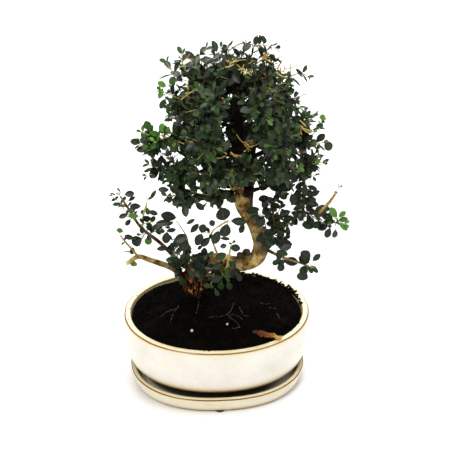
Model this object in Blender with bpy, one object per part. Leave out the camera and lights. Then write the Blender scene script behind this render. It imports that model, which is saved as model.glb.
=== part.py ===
"""Small-leaved olive bonsai in an oval glazed pot, standing in its drip saucer.

Metres, +Z up, +X along the pot. The pot, the saucer and the soil are built about the pot's middle.
The tree is built from the point where its trunk leaves the soil. The last step moves the whole
plant so that the origin lies on the ground, under the middle of its bounding box.
"""
import math

import bmesh
import bpy
from mathutils import Matrix, Vector, noise

# ---- fits ---------------------------------------------------------------------------------------
TOUCH_GAP = 0.0003          # between two pieces that rest on each other
WOOD_GAP = 0.0004           # between wood and the leaves or soil around it
LEAF_GAP = 0.0008           # between two neighbouring tufts of leaves

# ---- saucer -------------------------------------------------------------------------------------
OVAL_POWER = 2.06           # 2 is an ellipse, more is squarer
OVAL_POINTS = 48
SAUCER_INSET = 0.0060       # the saucer's rim stands in this far from the pot's rim
SAUCER_HEIGHT = 0.0215
SAUCER_WALL = 0.0070
SAUCER_BASE = 0.0045
SAUCER_DRAFT = 0.0035       # how far the foot of the wall stands in from the rim
SAUCER_FORWARD = 0.0105     # the pot stands this far back from the saucer's middle

PAD_RADIUS = 0.0085
PAD_HEIGHT = 0.0030
PAD_INSET = 0.0088          # from the edge of the saucer's base to a pad's middle

# ---- pot ----------------------------------------------------------------------------------------
POT_LENGTH = 0.250
POT_WIDTH = 0.192
POT_BODY_HEIGHT = 0.0715
POT_BULGE = 0.0018          # the wall swells this far outside the rim
POT_BASE_DRAFT = 0.0068     # the foot of the wall stands in this far
POT_RIM_WIDTH = 0.0095
POT_INNER_DRAFT = 0.0060    # the inside narrows this far from the rim to the floor
POT_FLOOR = 0.0080
POT_FOOT_HEIGHT = 0.0190
POT_FOOT_TOP_RADIUS = 0.0150
POT_FOOT_TIP_RADIUS = 0.0115
POT_FOOT_INSET = 0.0450     # from the edge of the pot's base to the oval the feet stand on
POT_FOOT_OUT_X = 0.819      # where on that oval: share of its half length
POT_FOOT_OUT_Y = 0.743      # and of its half width
DRAIN_RADIUS = 0.0070
DRAIN_SPACING = 0.0900
MESH_SIDE = 0.0300
MESH_THICKNESS = 0.0012

# ---- soil and what lies on it -------------------------------------------------------------------
SOIL_BELOW_RIM = 0.0070
SOIL_MOUND = 0.0050
SOIL_TILT = 0.0035          # higher at the right end by this much
SOIL_LEFT_BANK = 0.0040     # and banked up again against the left end
SOIL_UNEVEN = 0.0011
BEAD_RADIUS = 0.0021
GRAIN_RADIUS = 0.0014
CHIP_LENGTH = 0.0430
CHIP_WIDTH = 0.0085
CHIP_THICKNESS = 0.0042
CHIP_HEADING = math.radians(-30.0)
ROOTLET_RADIUS = 0.0006
ROOTLET_FROM_TRUNK = 0.0228 # the nearest rootlet starts this far in front of the trunk's middle
ROOTLET_FIRST_SHARE = 0.32

# ---- tree ---------------------------------------------------------------------------------------
TREE_HEIGHT = 0.385         # soil to the top leaves
TREE_SPREAD = 0.310         # across the leaves along X
TRUNK_GIRTH = 0.0215        # width of the trunk in its long bend
TRUNK_FROM_BACK = 0.0360    # trunk's middle to the pot's inner back wall
TRUNK_FROM_MIDDLE = 0.0290  # trunk's middle to the left of the pot's middle
ROOT_DEPTH = 0.0330
ROOT_FROM_WALL = 0.0120     # a root tip stays this far inside the pot's wall

# The tree's points below are written for a tree of these sizes and then stretched to the ones above.
DRAWN_HEIGHT = 0.385
DRAWN_SPREAD = 0.310
DRAWN_GIRTH = 0.0215

# ---- sizes that follow from the ones above ------------------------------------------------------
SAUCER_LENGTH = POT_LENGTH - 2 * SAUCER_INSET
SAUCER_WIDTH = POT_WIDTH - 2 * SAUCER_INSET
SAUCER_UNDERSIDE = PAD_HEIGHT
SAUCER_FLOOR = SAUCER_UNDERSIDE + SAUCER_BASE
SAUCER_RIM = SAUCER_UNDERSIDE + SAUCER_HEIGHT
POT_UNDERSIDE = SAUCER_FLOOR + TOUCH_GAP + POT_FOOT_HEIGHT
POT_INSIDE = POT_UNDERSIDE + POT_FLOOR
POT_RIM = POT_UNDERSIDE + POT_BODY_HEIGHT

plant = bpy.data.collections.new("olive_bonsai")
tools = bpy.data.collections.new("cutters")


# ---- helpers ------------------------------------------------------------------------------------
def clear_scene():
    """Remove every object, so that the file holds only this plant."""
    for old in list(bpy.data.objects):
        bpy.data.objects.remove(old, do_unlink=True)
    bpy.context.scene.collection.children.link(plant)
    bpy.context.scene.collection.children.link(tools)


def material(name, colour, roughness, metallic=0.0):
    """A Principled material of one colour."""
    made = bpy.data.materials.new(name)
    made.use_nodes = True
    shader = made.node_tree.nodes["Principled BSDF"]
    shader.inputs["Base Color"].default_value = (*colour, 1.0)
    shader.inputs["Roughness"].default_value = roughness
    shader.inputs["Metallic"].default_value = metallic
    return made


def new_object(name, bm, collection, finish=None, sharp_degrees=35.0):
    """Turn a bmesh into an object with smooth shading and one material."""
    bmesh.ops.recalc_face_normals(bm, faces=bm.faces)
    mesh = bpy.data.meshes.new(name)
    bm.to_mesh(mesh)
    bm.free()
    mesh.shade_smooth()
    mesh.set_sharp_from_angle(angle=math.radians(sharp_degrees))
    if finish:
        mesh.materials.append(finish)
    made = bpy.data.objects.new(name, mesh)
    collection.objects.link(made)
    return made


def cutter(name, bm):
    """An object that only shapes others: drawn as wire and never rendered."""
    made = new_object(name, bm, tools)
    made.hide_render = True
    made.display_type = "WIRE"
    return made


def boolean(target, operation, operand):
    """Add or cut one object, or a whole collection of them, and keep the result in the mesh."""
    step = target.modifiers.new(operation.lower(), "BOOLEAN")
    step.operation = operation
    step.solver = "EXACT"
    if isinstance(operand, bpy.types.Collection):
        step.operand_type = "COLLECTION"
        step.collection = operand
    else:
        step.object = operand
    graph = bpy.context.evaluated_depsgraph_get()
    shaped = bpy.data.meshes.new_from_object(target.evaluated_get(graph))
    target.modifiers.remove(step)
    target.data = shaped


def oval(length, width, height, centre_y=0.0, count=OVAL_POINTS):
    """Points round an oval that is a little squarer than an ellipse."""
    ring = []
    for index in range(count):
        turn = 2.0 * math.pi * (index + 0.5) / count
        across = math.copysign(abs(math.cos(turn)) ** (2.0 / OVAL_POWER), math.cos(turn))
        along = math.copysign(abs(math.sin(turn)) ** (2.0 / OVAL_POWER), math.sin(turn))
        ring.append(Vector((across * length / 2.0, along * width / 2.0 + centre_y, height)))
    return ring


def loft(rings):
    """Skin a closed body over a list of rings with as many points each."""
    bm = bmesh.new()
    rows = [[bm.verts.new(point) for point in ring] for ring in rings]
    for lower, upper in zip(rows, rows[1:]):
        count = len(lower)
        for index in range(count):
            after = (index + 1) % count
            bm.faces.new((lower[index], lower[after], upper[after], upper[index]))
    bm.faces.new(reversed(rows[0]))
    bm.faces.new(rows[-1])
    return bm


def oval_vessel(length, width, centre_y, profile):
    """Loft a dish from (inset from the rim oval, height) pairs, outside first, then the inside."""
    return loft([oval(length - 2 * inset, width - 2 * inset, height, centre_y)
                 for inset, height in profile])


def cylinder(radius_low, radius_high, low, high, centre, sides=24):
    """A straight or tapered round post between two heights."""
    bm = bmesh.new()
    place = Matrix.Translation((centre[0], centre[1], (low + high) / 2.0))
    bmesh.ops.create_cone(bm, cap_ends=True, segments=sides, radius1=radius_low,
                          radius2=radius_high, depth=high - low, matrix=place)
    return bm


def box(size, matrix):
    """A box of a full size placed by a matrix."""
    bm = bmesh.new()
    bmesh.ops.create_cube(bm, size=1.0, matrix=matrix @ Matrix.Diagonal((*size, 1.0)))
    return bm


def smooth_route(points, step):
    """A Catmull-Rom curve through hand-placed points, read about every step metres."""
    route = [Vector(point) for point in points]
    ends = [2 * route[0] - route[1]] + route + [2 * route[-1] - route[-2]]
    read = []
    for index in range(1, len(ends) - 2):
        before, start, stop, after = ends[index - 1:index + 3]
        pieces = max(1, round((stop - start).length / step))
        for part in range(pieces):
            t = part / pieces
            read.append((index - 1 + t, 0.5 * (2 * start + (stop - before) * t
                        + (2 * before - 5 * start + 4 * stop - after) * t * t
                        + (3 * start - before - 3 * stop + after) * t ** 3)))
    read.append((len(route) - 1.0, route[-1]))
    return read


def tube(name, points, radii, sides_level, step, collection, grow=0.0, finish=None):
    """A tapered tube with closed ends, swept along a smooth route."""
    read = smooth_route(points, step)
    curve = bpy.data.curves.new(name, "CURVE")
    curve.dimensions = "3D"
    curve.bevel_depth = 1.0
    curve.bevel_resolution = sides_level
    curve.use_fill_caps = True
    spline = curve.splines.new("POLY")
    spline.points.add(len(read) - 1)
    for index, (place, point) in enumerate(read):
        low = min(int(place), len(radii) - 2)
        share = place - low
        spline.points[index].co = (*point, 1.0)
        spline.points[index].radius = radii[low] * (1 - share) + radii[low + 1] * share + grow
    swept = bpy.data.objects.new(name + "_curve", curve)
    collection.objects.link(swept)
    graph = bpy.context.evaluated_depsgraph_get()
    mesh = bpy.data.meshes.new_from_object(swept.evaluated_get(graph))
    bm = bmesh.new()
    bm.from_mesh(mesh)
    bmesh.ops.transform(bm, matrix=swept.matrix_world, verts=bm.verts)
    bmesh.ops.remove_doubles(bm, verts=bm.verts, dist=0.00001)
    bpy.data.objects.remove(swept, do_unlink=True)
    bpy.data.curves.remove(curve)
    bpy.data.meshes.remove(mesh)
    if collection is tools:
        return cutter(name, bm)
    return new_object(name, bm, collection, finish)


# ---- finishes -----------------------------------------------------------------------------------
clear_scene()
ivory_glaze = material("ivory_glaze", (0.87, 0.83, 0.73), 0.20)
black_rubber = material("black_rubber", (0.02, 0.02, 0.02), 0.70)
black_plastic = material("black_plastic_mesh", (0.03, 0.03, 0.03), 0.50)
potting_soil = material("potting_soil", (0.022, 0.017, 0.013), 0.95)
olive_bark = material("olive_bark", (0.42, 0.28, 0.13), 0.85)
dark_bark = material("dark_bark", (0.20, 0.10, 0.05), 0.90)
dried_root = material("dried_root", (0.36, 0.27, 0.19), 0.85)
fertiliser = material("fertiliser_coat", (0.80, 0.68, 0.42), 0.45)
perlite = material("perlite", (0.85, 0.85, 0.82), 0.90)
olive_leaf = material("olive_leaf", (0.045, 0.075, 0.055), 0.50)
young_leaf = material("young_leaf", (0.13, 0.26, 0.05), 0.45)


# ---- saucer and its pads ------------------------------------------------------------------------
saucer_profile = [
    (SAUCER_DRAFT + 0.0030, SAUCER_UNDERSIDE),
    (SAUCER_DRAFT + 0.0008, SAUCER_UNDERSIDE + 0.0010),
    (SAUCER_DRAFT - 0.0004, SAUCER_UNDERSIDE + 0.0035),
    (0.0006, SAUCER_RIM - 0.0050),
    (0.0000, SAUCER_RIM - 0.0012),
    (0.0010, SAUCER_RIM),
    (SAUCER_WALL - 0.0012, SAUCER_RIM),
    (SAUCER_WALL, SAUCER_RIM - 0.0015),
    (SAUCER_WALL + SAUCER_DRAFT - 0.0005, SAUCER_FLOOR + 0.0030),
    (SAUCER_WALL + SAUCER_DRAFT + 0.0025, SAUCER_FLOOR),
]
saucer = new_object("saucer", oval_vessel(SAUCER_LENGTH, SAUCER_WIDTH, -SAUCER_FORWARD,
                                          saucer_profile), plant, ivory_glaze)

pad_x = SAUCER_LENGTH / 2 - SAUCER_DRAFT - PAD_INSET
pad_y = SAUCER_WIDTH / 2 - SAUCER_DRAFT - PAD_INSET
for side, x, y in (("front", 0.0, -pad_y), ("back", 0.0, pad_y),
                   ("left", -pad_x, 0.0), ("right", pad_x, 0.0)):
    new_object("saucer_pad_" + side,
               cylinder(PAD_RADIUS, PAD_RADIUS, 0.0, PAD_HEIGHT - TOUCH_GAP,
                        (x, y - SAUCER_FORWARD)), plant, black_rubber)


# ---- pot, with four feet and two drain holes ----------------------------------------------------
pot_profile = [
    (POT_BASE_DRAFT + 0.0030, POT_UNDERSIDE),
    (POT_BASE_DRAFT + 0.0008, POT_UNDERSIDE + 0.0010),
    (POT_BASE_DRAFT - 0.0008, POT_UNDERSIDE + 0.0040),
    (0.0012, POT_UNDERSIDE + 0.30 * POT_BODY_HEIGHT),
    (-POT_BULGE * 0.8, POT_UNDERSIDE + 0.52 * POT_BODY_HEIGHT),
    (-POT_BULGE, POT_UNDERSIDE + 0.70 * POT_BODY_HEIGHT),
    (-POT_BULGE * 0.5, POT_UNDERSIDE + 0.87 * POT_BODY_HEIGHT),
    (0.0000, POT_RIM - 0.0020),
    (0.0008, POT_RIM - 0.0005),
    (0.0022, POT_RIM),
    (POT_RIM_WIDTH - 0.0020, POT_RIM),
    (POT_RIM_WIDTH, POT_RIM - 0.0020),
    (POT_RIM_WIDTH + 0.35 * POT_INNER_DRAFT, POT_RIM - 0.55 * POT_BODY_HEIGHT),
    (POT_RIM_WIDTH + POT_INNER_DRAFT - 0.0010, POT_INSIDE + 0.0040),
    (POT_RIM_WIDTH + POT_INNER_DRAFT + 0.0025, POT_INSIDE),
]
pot = new_object("pot", oval_vessel(POT_LENGTH, POT_WIDTH, 0.0, pot_profile), plant, ivory_glaze)

base_half_length = POT_LENGTH / 2 - POT_BASE_DRAFT
base_half_width = POT_WIDTH / 2 - POT_BASE_DRAFT
foot_x = (base_half_length - POT_FOOT_INSET) * POT_FOOT_OUT_X
foot_y = (base_half_width - POT_FOOT_INSET) * POT_FOOT_OUT_Y
for name, x, y in (("foot_front_left", -foot_x, -foot_y), ("foot_front_right", foot_x, -foot_y),
                   ("foot_back_left", -foot_x, foot_y), ("foot_back_right", foot_x, foot_y)):
    foot = cutter(name, cylinder(POT_FOOT_TIP_RADIUS, POT_FOOT_TOP_RADIUS,
                                 SAUCER_FLOOR + TOUCH_GAP, POT_UNDERSIDE + POT_FLOOR / 2,
                                 (x, y), 20))
    boolean(pot, "UNION", foot)

for side, x in (("left", -DRAIN_SPACING / 2), ("right", DRAIN_SPACING / 2)):
    drain = cutter("drain_" + side, cylinder(DRAIN_RADIUS, DRAIN_RADIUS,
                                             POT_UNDERSIDE - POT_FLOOR,
                                             POT_INSIDE + POT_FLOOR, (x, 0.0), 20))
    boolean(pot, "DIFFERENCE", drain)
    mesh_low = POT_INSIDE + TOUCH_GAP
    new_object("drainage_mesh_" + side,
               box((MESH_SIDE, MESH_SIDE, MESH_THICKNESS),
                   Matrix.Translation((x, 0.0, mesh_low + MESH_THICKNESS / 2))),
               plant, black_plastic)


# ---- where the soil's surface lies --------------------------------------------------------------
def inner_half_sizes(depth_below_rim):
    """Half length and half width of the pot's inside, a little way under the rim."""
    share = depth_below_rim / (0.55 * POT_BODY_HEIGHT)
    inset = POT_RIM_WIDTH + 0.35 * POT_INNER_DRAFT * share
    return POT_LENGTH / 2 - inset, POT_WIDTH / 2 - inset


INNER_HALF_LENGTH, INNER_HALF_WIDTH = inner_half_sizes(0.0)


def soil_height(x, y):
    """Height of the soil: mounded in the middle, higher towards both ends, softly uneven."""
    along = x / INNER_HALF_LENGTH
    out = min(1.0, math.hypot(along, y / INNER_HALF_WIDTH))
    uneven = SOIL_UNEVEN * noise.noise(Vector((x * 38.0, y * 38.0, 0.4)))
    return (POT_RIM - SOIL_BELOW_RIM + SOIL_TILT * along + SOIL_LEFT_BANK * min(0.0, along) ** 2
            + SOIL_MOUND * (1.0 - out * out) + uneven)


TRUNK_X = -TRUNK_FROM_MIDDLE
TRUNK_Y = INNER_HALF_WIDTH - TRUNK_FROM_BACK
TRUNK_FOOT = Vector((TRUNK_X, TRUNK_Y, soil_height(TRUNK_X, TRUNK_Y)))
STRETCH = Vector((TREE_SPREAD / DRAWN_SPREAD, (TREE_SPREAD / DRAWN_SPREAD),
                  TREE_HEIGHT / DRAWN_HEIGHT))
THICKER = TRUNK_GIRTH / DRAWN_GIRTH


def on_tree(point):
    """A point of the tree, given from the foot of the trunk, in the pot's frame."""
    return TRUNK_FOOT + Vector(point) * STRETCH


# ---- wood ---------------------------------------------------------------------------------------
TRUNK_ROUTE = [
    (0.002, 0.000, -0.012), (0.001, 0.000, 0.004), (0.001, 0.000, 0.028), (0.012, 0.000, 0.046),
    (0.036, -0.005, 0.051), (0.063, -0.010, 0.051), (0.083, -0.010, 0.058), (0.091, -0.008, 0.075),
    (0.088, -0.005, 0.094), (0.079, -0.005, 0.116), (0.067, -0.008, 0.136), (0.062, -0.010, 0.153),
    (0.058, -0.012, 0.169), (0.059, -0.013, 0.188), (0.059, -0.014, 0.215), (0.061, -0.015, 0.244),
    (0.058, -0.016, 0.276), (0.053, -0.017, 0.305),
]
TRUNK_RADII = [0.0160, 0.0170, 0.0155, 0.0138, 0.0115, 0.0104, 0.0106, 0.0108, 0.0100,
               0.0088, 0.0084, 0.0090, 0.0084, 0.0072, 0.0065, 0.0058, 0.0048, 0.0036]

# Each branch: name, route from the foot of the trunk, first radius, last radius.
BRANCHES = [
    ("dark_limb", [(0.066, -0.008, 0.140), (0.073, 0.002, 0.170), (0.079, 0.012, 0.200),
                   (0.086, 0.020, 0.235), (0.092, 0.024, 0.262)], 0.0065, 0.0032),
    ("left_limb", [(0.060, -0.013, 0.180), (0.037, -0.014, 0.208), (0.012, -0.018, 0.228),
                   (-0.012, -0.024, 0.246)], 0.0052, 0.0026),
    ("cut_branch", [(0.000, 0.000, 0.020), (-0.017, -0.005, 0.032), (-0.031, -0.010, 0.048),
                    (-0.059, -0.020, 0.068), (-0.075, -0.020, 0.074),
                    (-0.091, -0.025, 0.066)], 0.0050, 0.0029),
    ("cut_branch_twig", [(-0.074, -0.020, 0.073), (-0.087, -0.020, 0.093),
                         (-0.097, -0.020, 0.106)], 0.0024, 0.0014),
    ("left_branch", [(0.002, 0.000, 0.030), (-0.016, 0.000, 0.046), (-0.045, 0.000, 0.082),
                     (-0.070, 0.000, 0.108), (-0.088, 0.000, 0.143),
                     (-0.095, 0.000, 0.157)], 0.0046, 0.0014),
    ("left_branch_fork", [(-0.068, 0.000, 0.105), (-0.066, -0.004, 0.128),
                          (-0.060, -0.006, 0.150)], 0.0024, 0.0013),
    ("pair_twig", [(0.006, -0.004, 0.042), (-0.006, -0.016, 0.060), (-0.008, -0.020, 0.098),
                   (-0.022, -0.025, 0.130)], 0.0022, 0.0013),
    ("middle_twig", [(0.032, -0.006, 0.052), (0.032, -0.016, 0.070), (0.026, -0.020, 0.092),
                     (0.024, -0.022, 0.110), (0.036, -0.029, 0.132)], 0.0024, 0.0013),
    ("low_twig", [(0.044, -0.010, 0.050), (0.044, -0.030, 0.058), (0.045, -0.032, 0.074),
                  (0.049, -0.032, 0.096)], 0.0022, 0.0013),
    ("front_twig", [(0.010, -0.002, 0.040), (0.014, -0.024, 0.054),
                    (0.024, -0.034, 0.058)], 0.0022, 0.0013),
    ("right_twig", [(0.089, -0.006, 0.088), (0.106, -0.024, 0.112), (0.104, -0.026, 0.138),
                    (0.106, -0.024, 0.160)], 0.0032, 0.0013),
    ("low_right_twig", [(0.090, -0.008, 0.078), (0.106, -0.026, 0.078), (0.122, -0.040, 0.078),
                        (0.143, -0.050, 0.076), (0.156, -0.050, 0.068)], 0.0030, 0.0013),
    ("hanging_branch", [(0.060, -0.013, 0.192), (0.095, -0.018, 0.212), (0.124, -0.020, 0.212),
                        (0.140, -0.020, 0.196), (0.143, -0.020, 0.166), (0.145, -0.022, 0.140),
                        (0.166, -0.028, 0.138), (0.186, -0.030, 0.128)], 0.0048, 0.0016),
    ("tan_twig", [(0.164, -0.027, 0.138), (0.177, -0.030, 0.158),
                  (0.185, -0.030, 0.172)], 0.0026, 0.0014),
    ("stub_low", [(0.062, -0.010, 0.160), (0.050, -0.022, 0.166)], 0.0042, 0.0036),
    ("stub_bend", [(0.090, -0.006, 0.090), (0.094, -0.022, 0.094)], 0.0050, 0.0042),
]

# Each tuft: name, middle from the foot of the trunk, half sizes. A crown tuft gets its own branch.
CROWN_TUFTS = [
    ("apex", (0.054, -0.015, 0.350), (0.040, 0.036, 0.030)),
    ("top_left", (0.013, -0.018, 0.334), (0.034, 0.036, 0.030)),
    ("top_right", (0.092, -0.013, 0.332), (0.034, 0.036, 0.028)),
    ("upper_left", (-0.009, -0.018, 0.300), (0.033, 0.036, 0.030)),
    ("upper_front_left", (0.018, -0.064, 0.320), (0.034, 0.034, 0.032)),
    ("upper_front_right", (0.083, -0.063, 0.318), (0.036, 0.034, 0.032)),
    ("upper_right", (0.114, -0.008, 0.302), (0.032, 0.038, 0.030)),
    ("upper_back_left", (0.024, 0.036, 0.306), (0.040, 0.038, 0.034)),
    ("upper_back_right", (0.088, 0.038, 0.302), (0.040, 0.038, 0.034)),
    ("middle_left_tip", (-0.045, -0.030, 0.257), (0.032, 0.024, 0.019)),
    ("middle_left", (-0.010, -0.020, 0.258), (0.036, 0.038, 0.030)),
    ("middle_front_left", (0.017, -0.078, 0.278), (0.034, 0.032, 0.032)),
    ("middle_front_right", (0.100, -0.070, 0.276), (0.036, 0.034, 0.032)),
    ("middle_right", (0.135, -0.018, 0.257), (0.034, 0.040, 0.032)),
    ("middle_back_left", (0.014, 0.044, 0.252), (0.042, 0.040, 0.034)),
    ("middle_back_right", (0.108, 0.046, 0.250), (0.044, 0.040, 0.034)),
    ("lower_left", (-0.014, -0.030, 0.214), (0.036, 0.036, 0.026)),
    ("lower_left_sprig", (-0.048, -0.030, 0.216), (0.018, 0.015, 0.014)),
    ("lower_front_left", (0.022, -0.078, 0.234), (0.036, 0.032, 0.026)),
    ("lower_front", (0.062, -0.084, 0.240), (0.026, 0.026, 0.028)),
    ("lower_front_right", (0.106, -0.066, 0.232), (0.036, 0.034, 0.026)),
    ("lower_right", (0.148, -0.020, 0.211), (0.032, 0.036, 0.026)),
    ("lower_back_left", (0.016, 0.040, 0.204), (0.042, 0.038, 0.030)),
    ("lower_back_right", (0.112, 0.046, 0.202), (0.046, 0.040, 0.030)),
    ("bottom_left", (-0.008, -0.026, 0.175), (0.034, 0.032, 0.022)),
    ("bottom_front", (0.026, -0.050, 0.190), (0.030, 0.030, 0.022)),
    ("bottom_right", (0.112, -0.012, 0.184), (0.034, 0.034, 0.024)),
    ("bottom_back", (0.058, 0.040, 0.172), (0.040, 0.034, 0.022)),
]
TWIG_TUFTS = [
    ("left_upper", (-0.076, -0.003, 0.144), (0.030, 0.020, 0.026)),
    ("left_lower", (-0.074, -0.004, 0.101), (0.026, 0.018, 0.015)),
    ("left_pair", (-0.028, -0.025, 0.136), (0.020, 0.014, 0.012)),
    ("pair_sprig", (-0.002, -0.021, 0.108), (0.015, 0.013, 0.022)),
    ("stump_left", (-0.026, -0.027, 0.078), (0.022, 0.015, 0.020)),
    ("stump_front", (0.014, -0.032, 0.066), (0.014, 0.012, 0.018)),
    ("stump_right", (0.038, -0.038, 0.052), (0.016, 0.012, 0.020)),
    ("middle_sprig", (0.038, -0.030, 0.126), (0.022, 0.015, 0.022)),
    ("low_sprig", (0.051, -0.032, 0.094), (0.018, 0.013, 0.014)),
    ("right_low", (0.108, -0.026, 0.104), (0.024, 0.018, 0.024)),
    ("right_high", (0.102, -0.024, 0.152), (0.024, 0.017, 0.020)),
    ("low_right_inner", (0.120, -0.042, 0.070), (0.016, 0.013, 0.014)),
    ("low_right_outer", (0.152, -0.050, 0.068), (0.018, 0.014, 0.020)),
    ("hanging_left", (0.128, -0.022, 0.136), (0.020, 0.014, 0.024)),
    ("hanging_right", (0.184, -0.030, 0.124), (0.028, 0.018, 0.020)),
    ("hanging_tip", (0.184, -0.030, 0.170), (0.018, 0.014, 0.016)),
]
YOUNG_TUFTS = ("middle_left_tip", "upper_left", "hanging_right", "lower_front")

BRANCH_RISE = 0.55          # a crown branch starts this share of its reach below its tuft
LOWEST_FORK = 0.165
HIGHEST_FORK = 0.300


def trunk_at(height):
    """The point on the trunk's upper part at a height above the soil, as drawn."""
    for low, high in zip(TRUNK_ROUTE[11:], TRUNK_ROUTE[12:]):
        if height <= high[2]:
            break
    share = min(1.0, max(0.0, (height - low[2]) / (high[2] - low[2])))
    return Vector(low).lerp(Vector(high), share)


def crown_branch(centre, half):
    """Route of the branch that carries one crown tuft: out of the trunk, rising, into its middle."""
    middle = Vector(centre)
    reach = math.hypot(middle.x - 0.059, middle.y + 0.014)
    start = trunk_at(min(HIGHEST_FORK, max(LOWEST_FORK, middle.z - BRANCH_RISE * reach)))
    end = middle.lerp(start, 0.35 * min(half) / (middle - start).length)
    bend = start.lerp(end, 0.5) - Vector((0.0, 0.0, 0.10 * reach))
    return [start, bend, end]


def root_routes():
    """Buried roots: from the trunk's foot outwards and down, clear of the pot's wall."""
    routes = []
    for index in range(5):
        turn = 2.0 * math.pi * (index + 0.35) / 5
        heading = Vector((math.cos(turn), math.sin(turn), 0.0))
        tip = Vector((TRUNK_X, TRUNK_Y, 0.0)) + heading * 0.055
        half_length = INNER_HALF_LENGTH - POT_INNER_DRAFT - ROOT_FROM_WALL
        half_width = INNER_HALF_WIDTH - POT_INNER_DRAFT - ROOT_FROM_WALL
        out = max(1.0, math.hypot(tip.x / half_length, tip.y / half_width))
        tip = Vector((tip.x / out, tip.y / out, TRUNK_FOOT.z - ROOT_DEPTH))
        crown = Vector((TRUNK_X, TRUNK_Y, TRUNK_FOOT.z - 0.008))
        knee = crown.lerp(tip, 0.5) + Vector((0.0, 0.0, 0.004))
        routes.append([crown, knee, tip])
    return routes


def build_wood(name, grow, sides_level):
    """All the wood as one body. With grow it is the cutter that gives leaves and soil room."""
    stems = bpy.data.collections.new(name + "_stems")
    bpy.context.scene.collection.children.link(stems)
    branches = [(part, [on_tree(point) for point in route], first, last, 0.016)
                for part, route, first, last in BRANCHES]
    for tuft, centre, half in CROWN_TUFTS:
        route = [on_tree(point) for point in crown_branch(centre, half)]
        branches.append(("branch_" + tuft, route, 0.0030, 0.0015, 0.030))
    for index, route in enumerate(root_routes()):
        branches.append((f"root_{index + 1}", route, 0.0075, 0.0025, 0.016))
    for part, route, first, last, step in branches:
        count = len(route) - 1
        radii = [THICKER * (first + (last - first) * index / count) for index in range(count + 1)]
        tube(f"{name}_{part}", route, radii, 1 if first < 0.006 else 2, step, stems, grow)
    trunk = tube(name, [on_tree(point) for point in TRUNK_ROUTE],
                 [THICKER * radius for radius in TRUNK_RADII], sides_level, 0.018,
                 tools if grow else plant, grow, olive_bark)
    boolean(trunk, "UNION", stems)
    for stem in list(stems.objects):
        bpy.data.objects.remove(stem, do_unlink=True)
    bpy.data.collections.remove(stems)
    return trunk


build_wood("trunk_and_branches", 0.0, 3)
wood_room = build_wood("wood_room", WOOD_GAP, 3)


# ---- soil ---------------------------------------------------------------------------------------
def soil_body():
    """The soil fills the pot to just under the rim and follows its inner wall."""
    gap = TOUCH_GAP + 0.0001
    edge_length, edge_width = inner_half_sizes(SOIL_BELOW_RIM)
    rings = []
    for inset, height in ((POT_RIM_WIDTH + POT_INNER_DRAFT + 0.0025 + gap, POT_INSIDE + gap),
                          (POT_RIM_WIDTH + POT_INNER_DRAFT - 0.0010 + gap,
                           POT_INSIDE + 0.0040 + gap / 2),
                          (POT_RIM_WIDTH + 0.35 * POT_INNER_DRAFT + gap,
                           POT_RIM - 0.55 * POT_BODY_HEIGHT)):
        rings.append(oval(POT_LENGTH - 2 * inset, POT_WIDTH - 2 * inset, height))
    for share in (1.0, 0.93, 0.80, 0.64, 0.46, 0.28, 0.10):
        ring = oval(2 * (edge_length - gap) * share, 2 * (edge_width - gap) * share, 0.0)
        for point in ring:
            point.z = soil_height(point.x, point.y)
        rings.append(ring)
    return loft(rings)


soil = new_object("soil", soil_body(), plant, potting_soil)
boolean(soil, "DIFFERENCE", wood_room)
for side, x in (("left", -DRAIN_SPACING / 2), ("right", DRAIN_SPACING / 2)):
    room = MESH_SIDE + 4 * TOUCH_GAP
    top = POT_INSIDE + MESH_THICKNESS + 3 * TOUCH_GAP
    bed = cutter("mesh_bed_" + side,
                 box((room, room, 2 * MESH_THICKNESS),
                     Matrix.Translation((x, 0.0, top - MESH_THICKNESS))))
    boolean(soil, "DIFFERENCE", bed)


# ---- small things that lie half sunk in the soil ------------------------------------------------
def bead(name, radius, x, y, finish, squash=1.0, level=2):
    """A round grain, and the slightly larger hollow it sits in."""
    height = soil_height(x, y) + 0.35 * radius
    for target, grow in ((plant, 0.0), (tools, TOUCH_GAP)):
        bm = bmesh.new()
        place = Matrix.Translation((x, y, height))
        place = place @ Matrix.Diagonal((1.0, 1.0 / squash, squash, 1.0))
        bmesh.ops.create_icosphere(bm, subdivisions=level, radius=radius + grow, matrix=place)
        if target is plant:
            new_object(name, bm, plant, finish, 180.0)
        else:
            boolean(soil, "DIFFERENCE", cutter(name + "_bed", bm))


bead("fertiliser_bead", BEAD_RADIUS, -0.30 * INNER_HALF_LENGTH, -0.48 * INNER_HALF_WIDTH, fertiliser)
bead("perlite_grain", GRAIN_RADIUS, 0.11 * INNER_HALF_LENGTH, -0.36 * INNER_HALF_WIDTH, perlite, 0.85)


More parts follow.
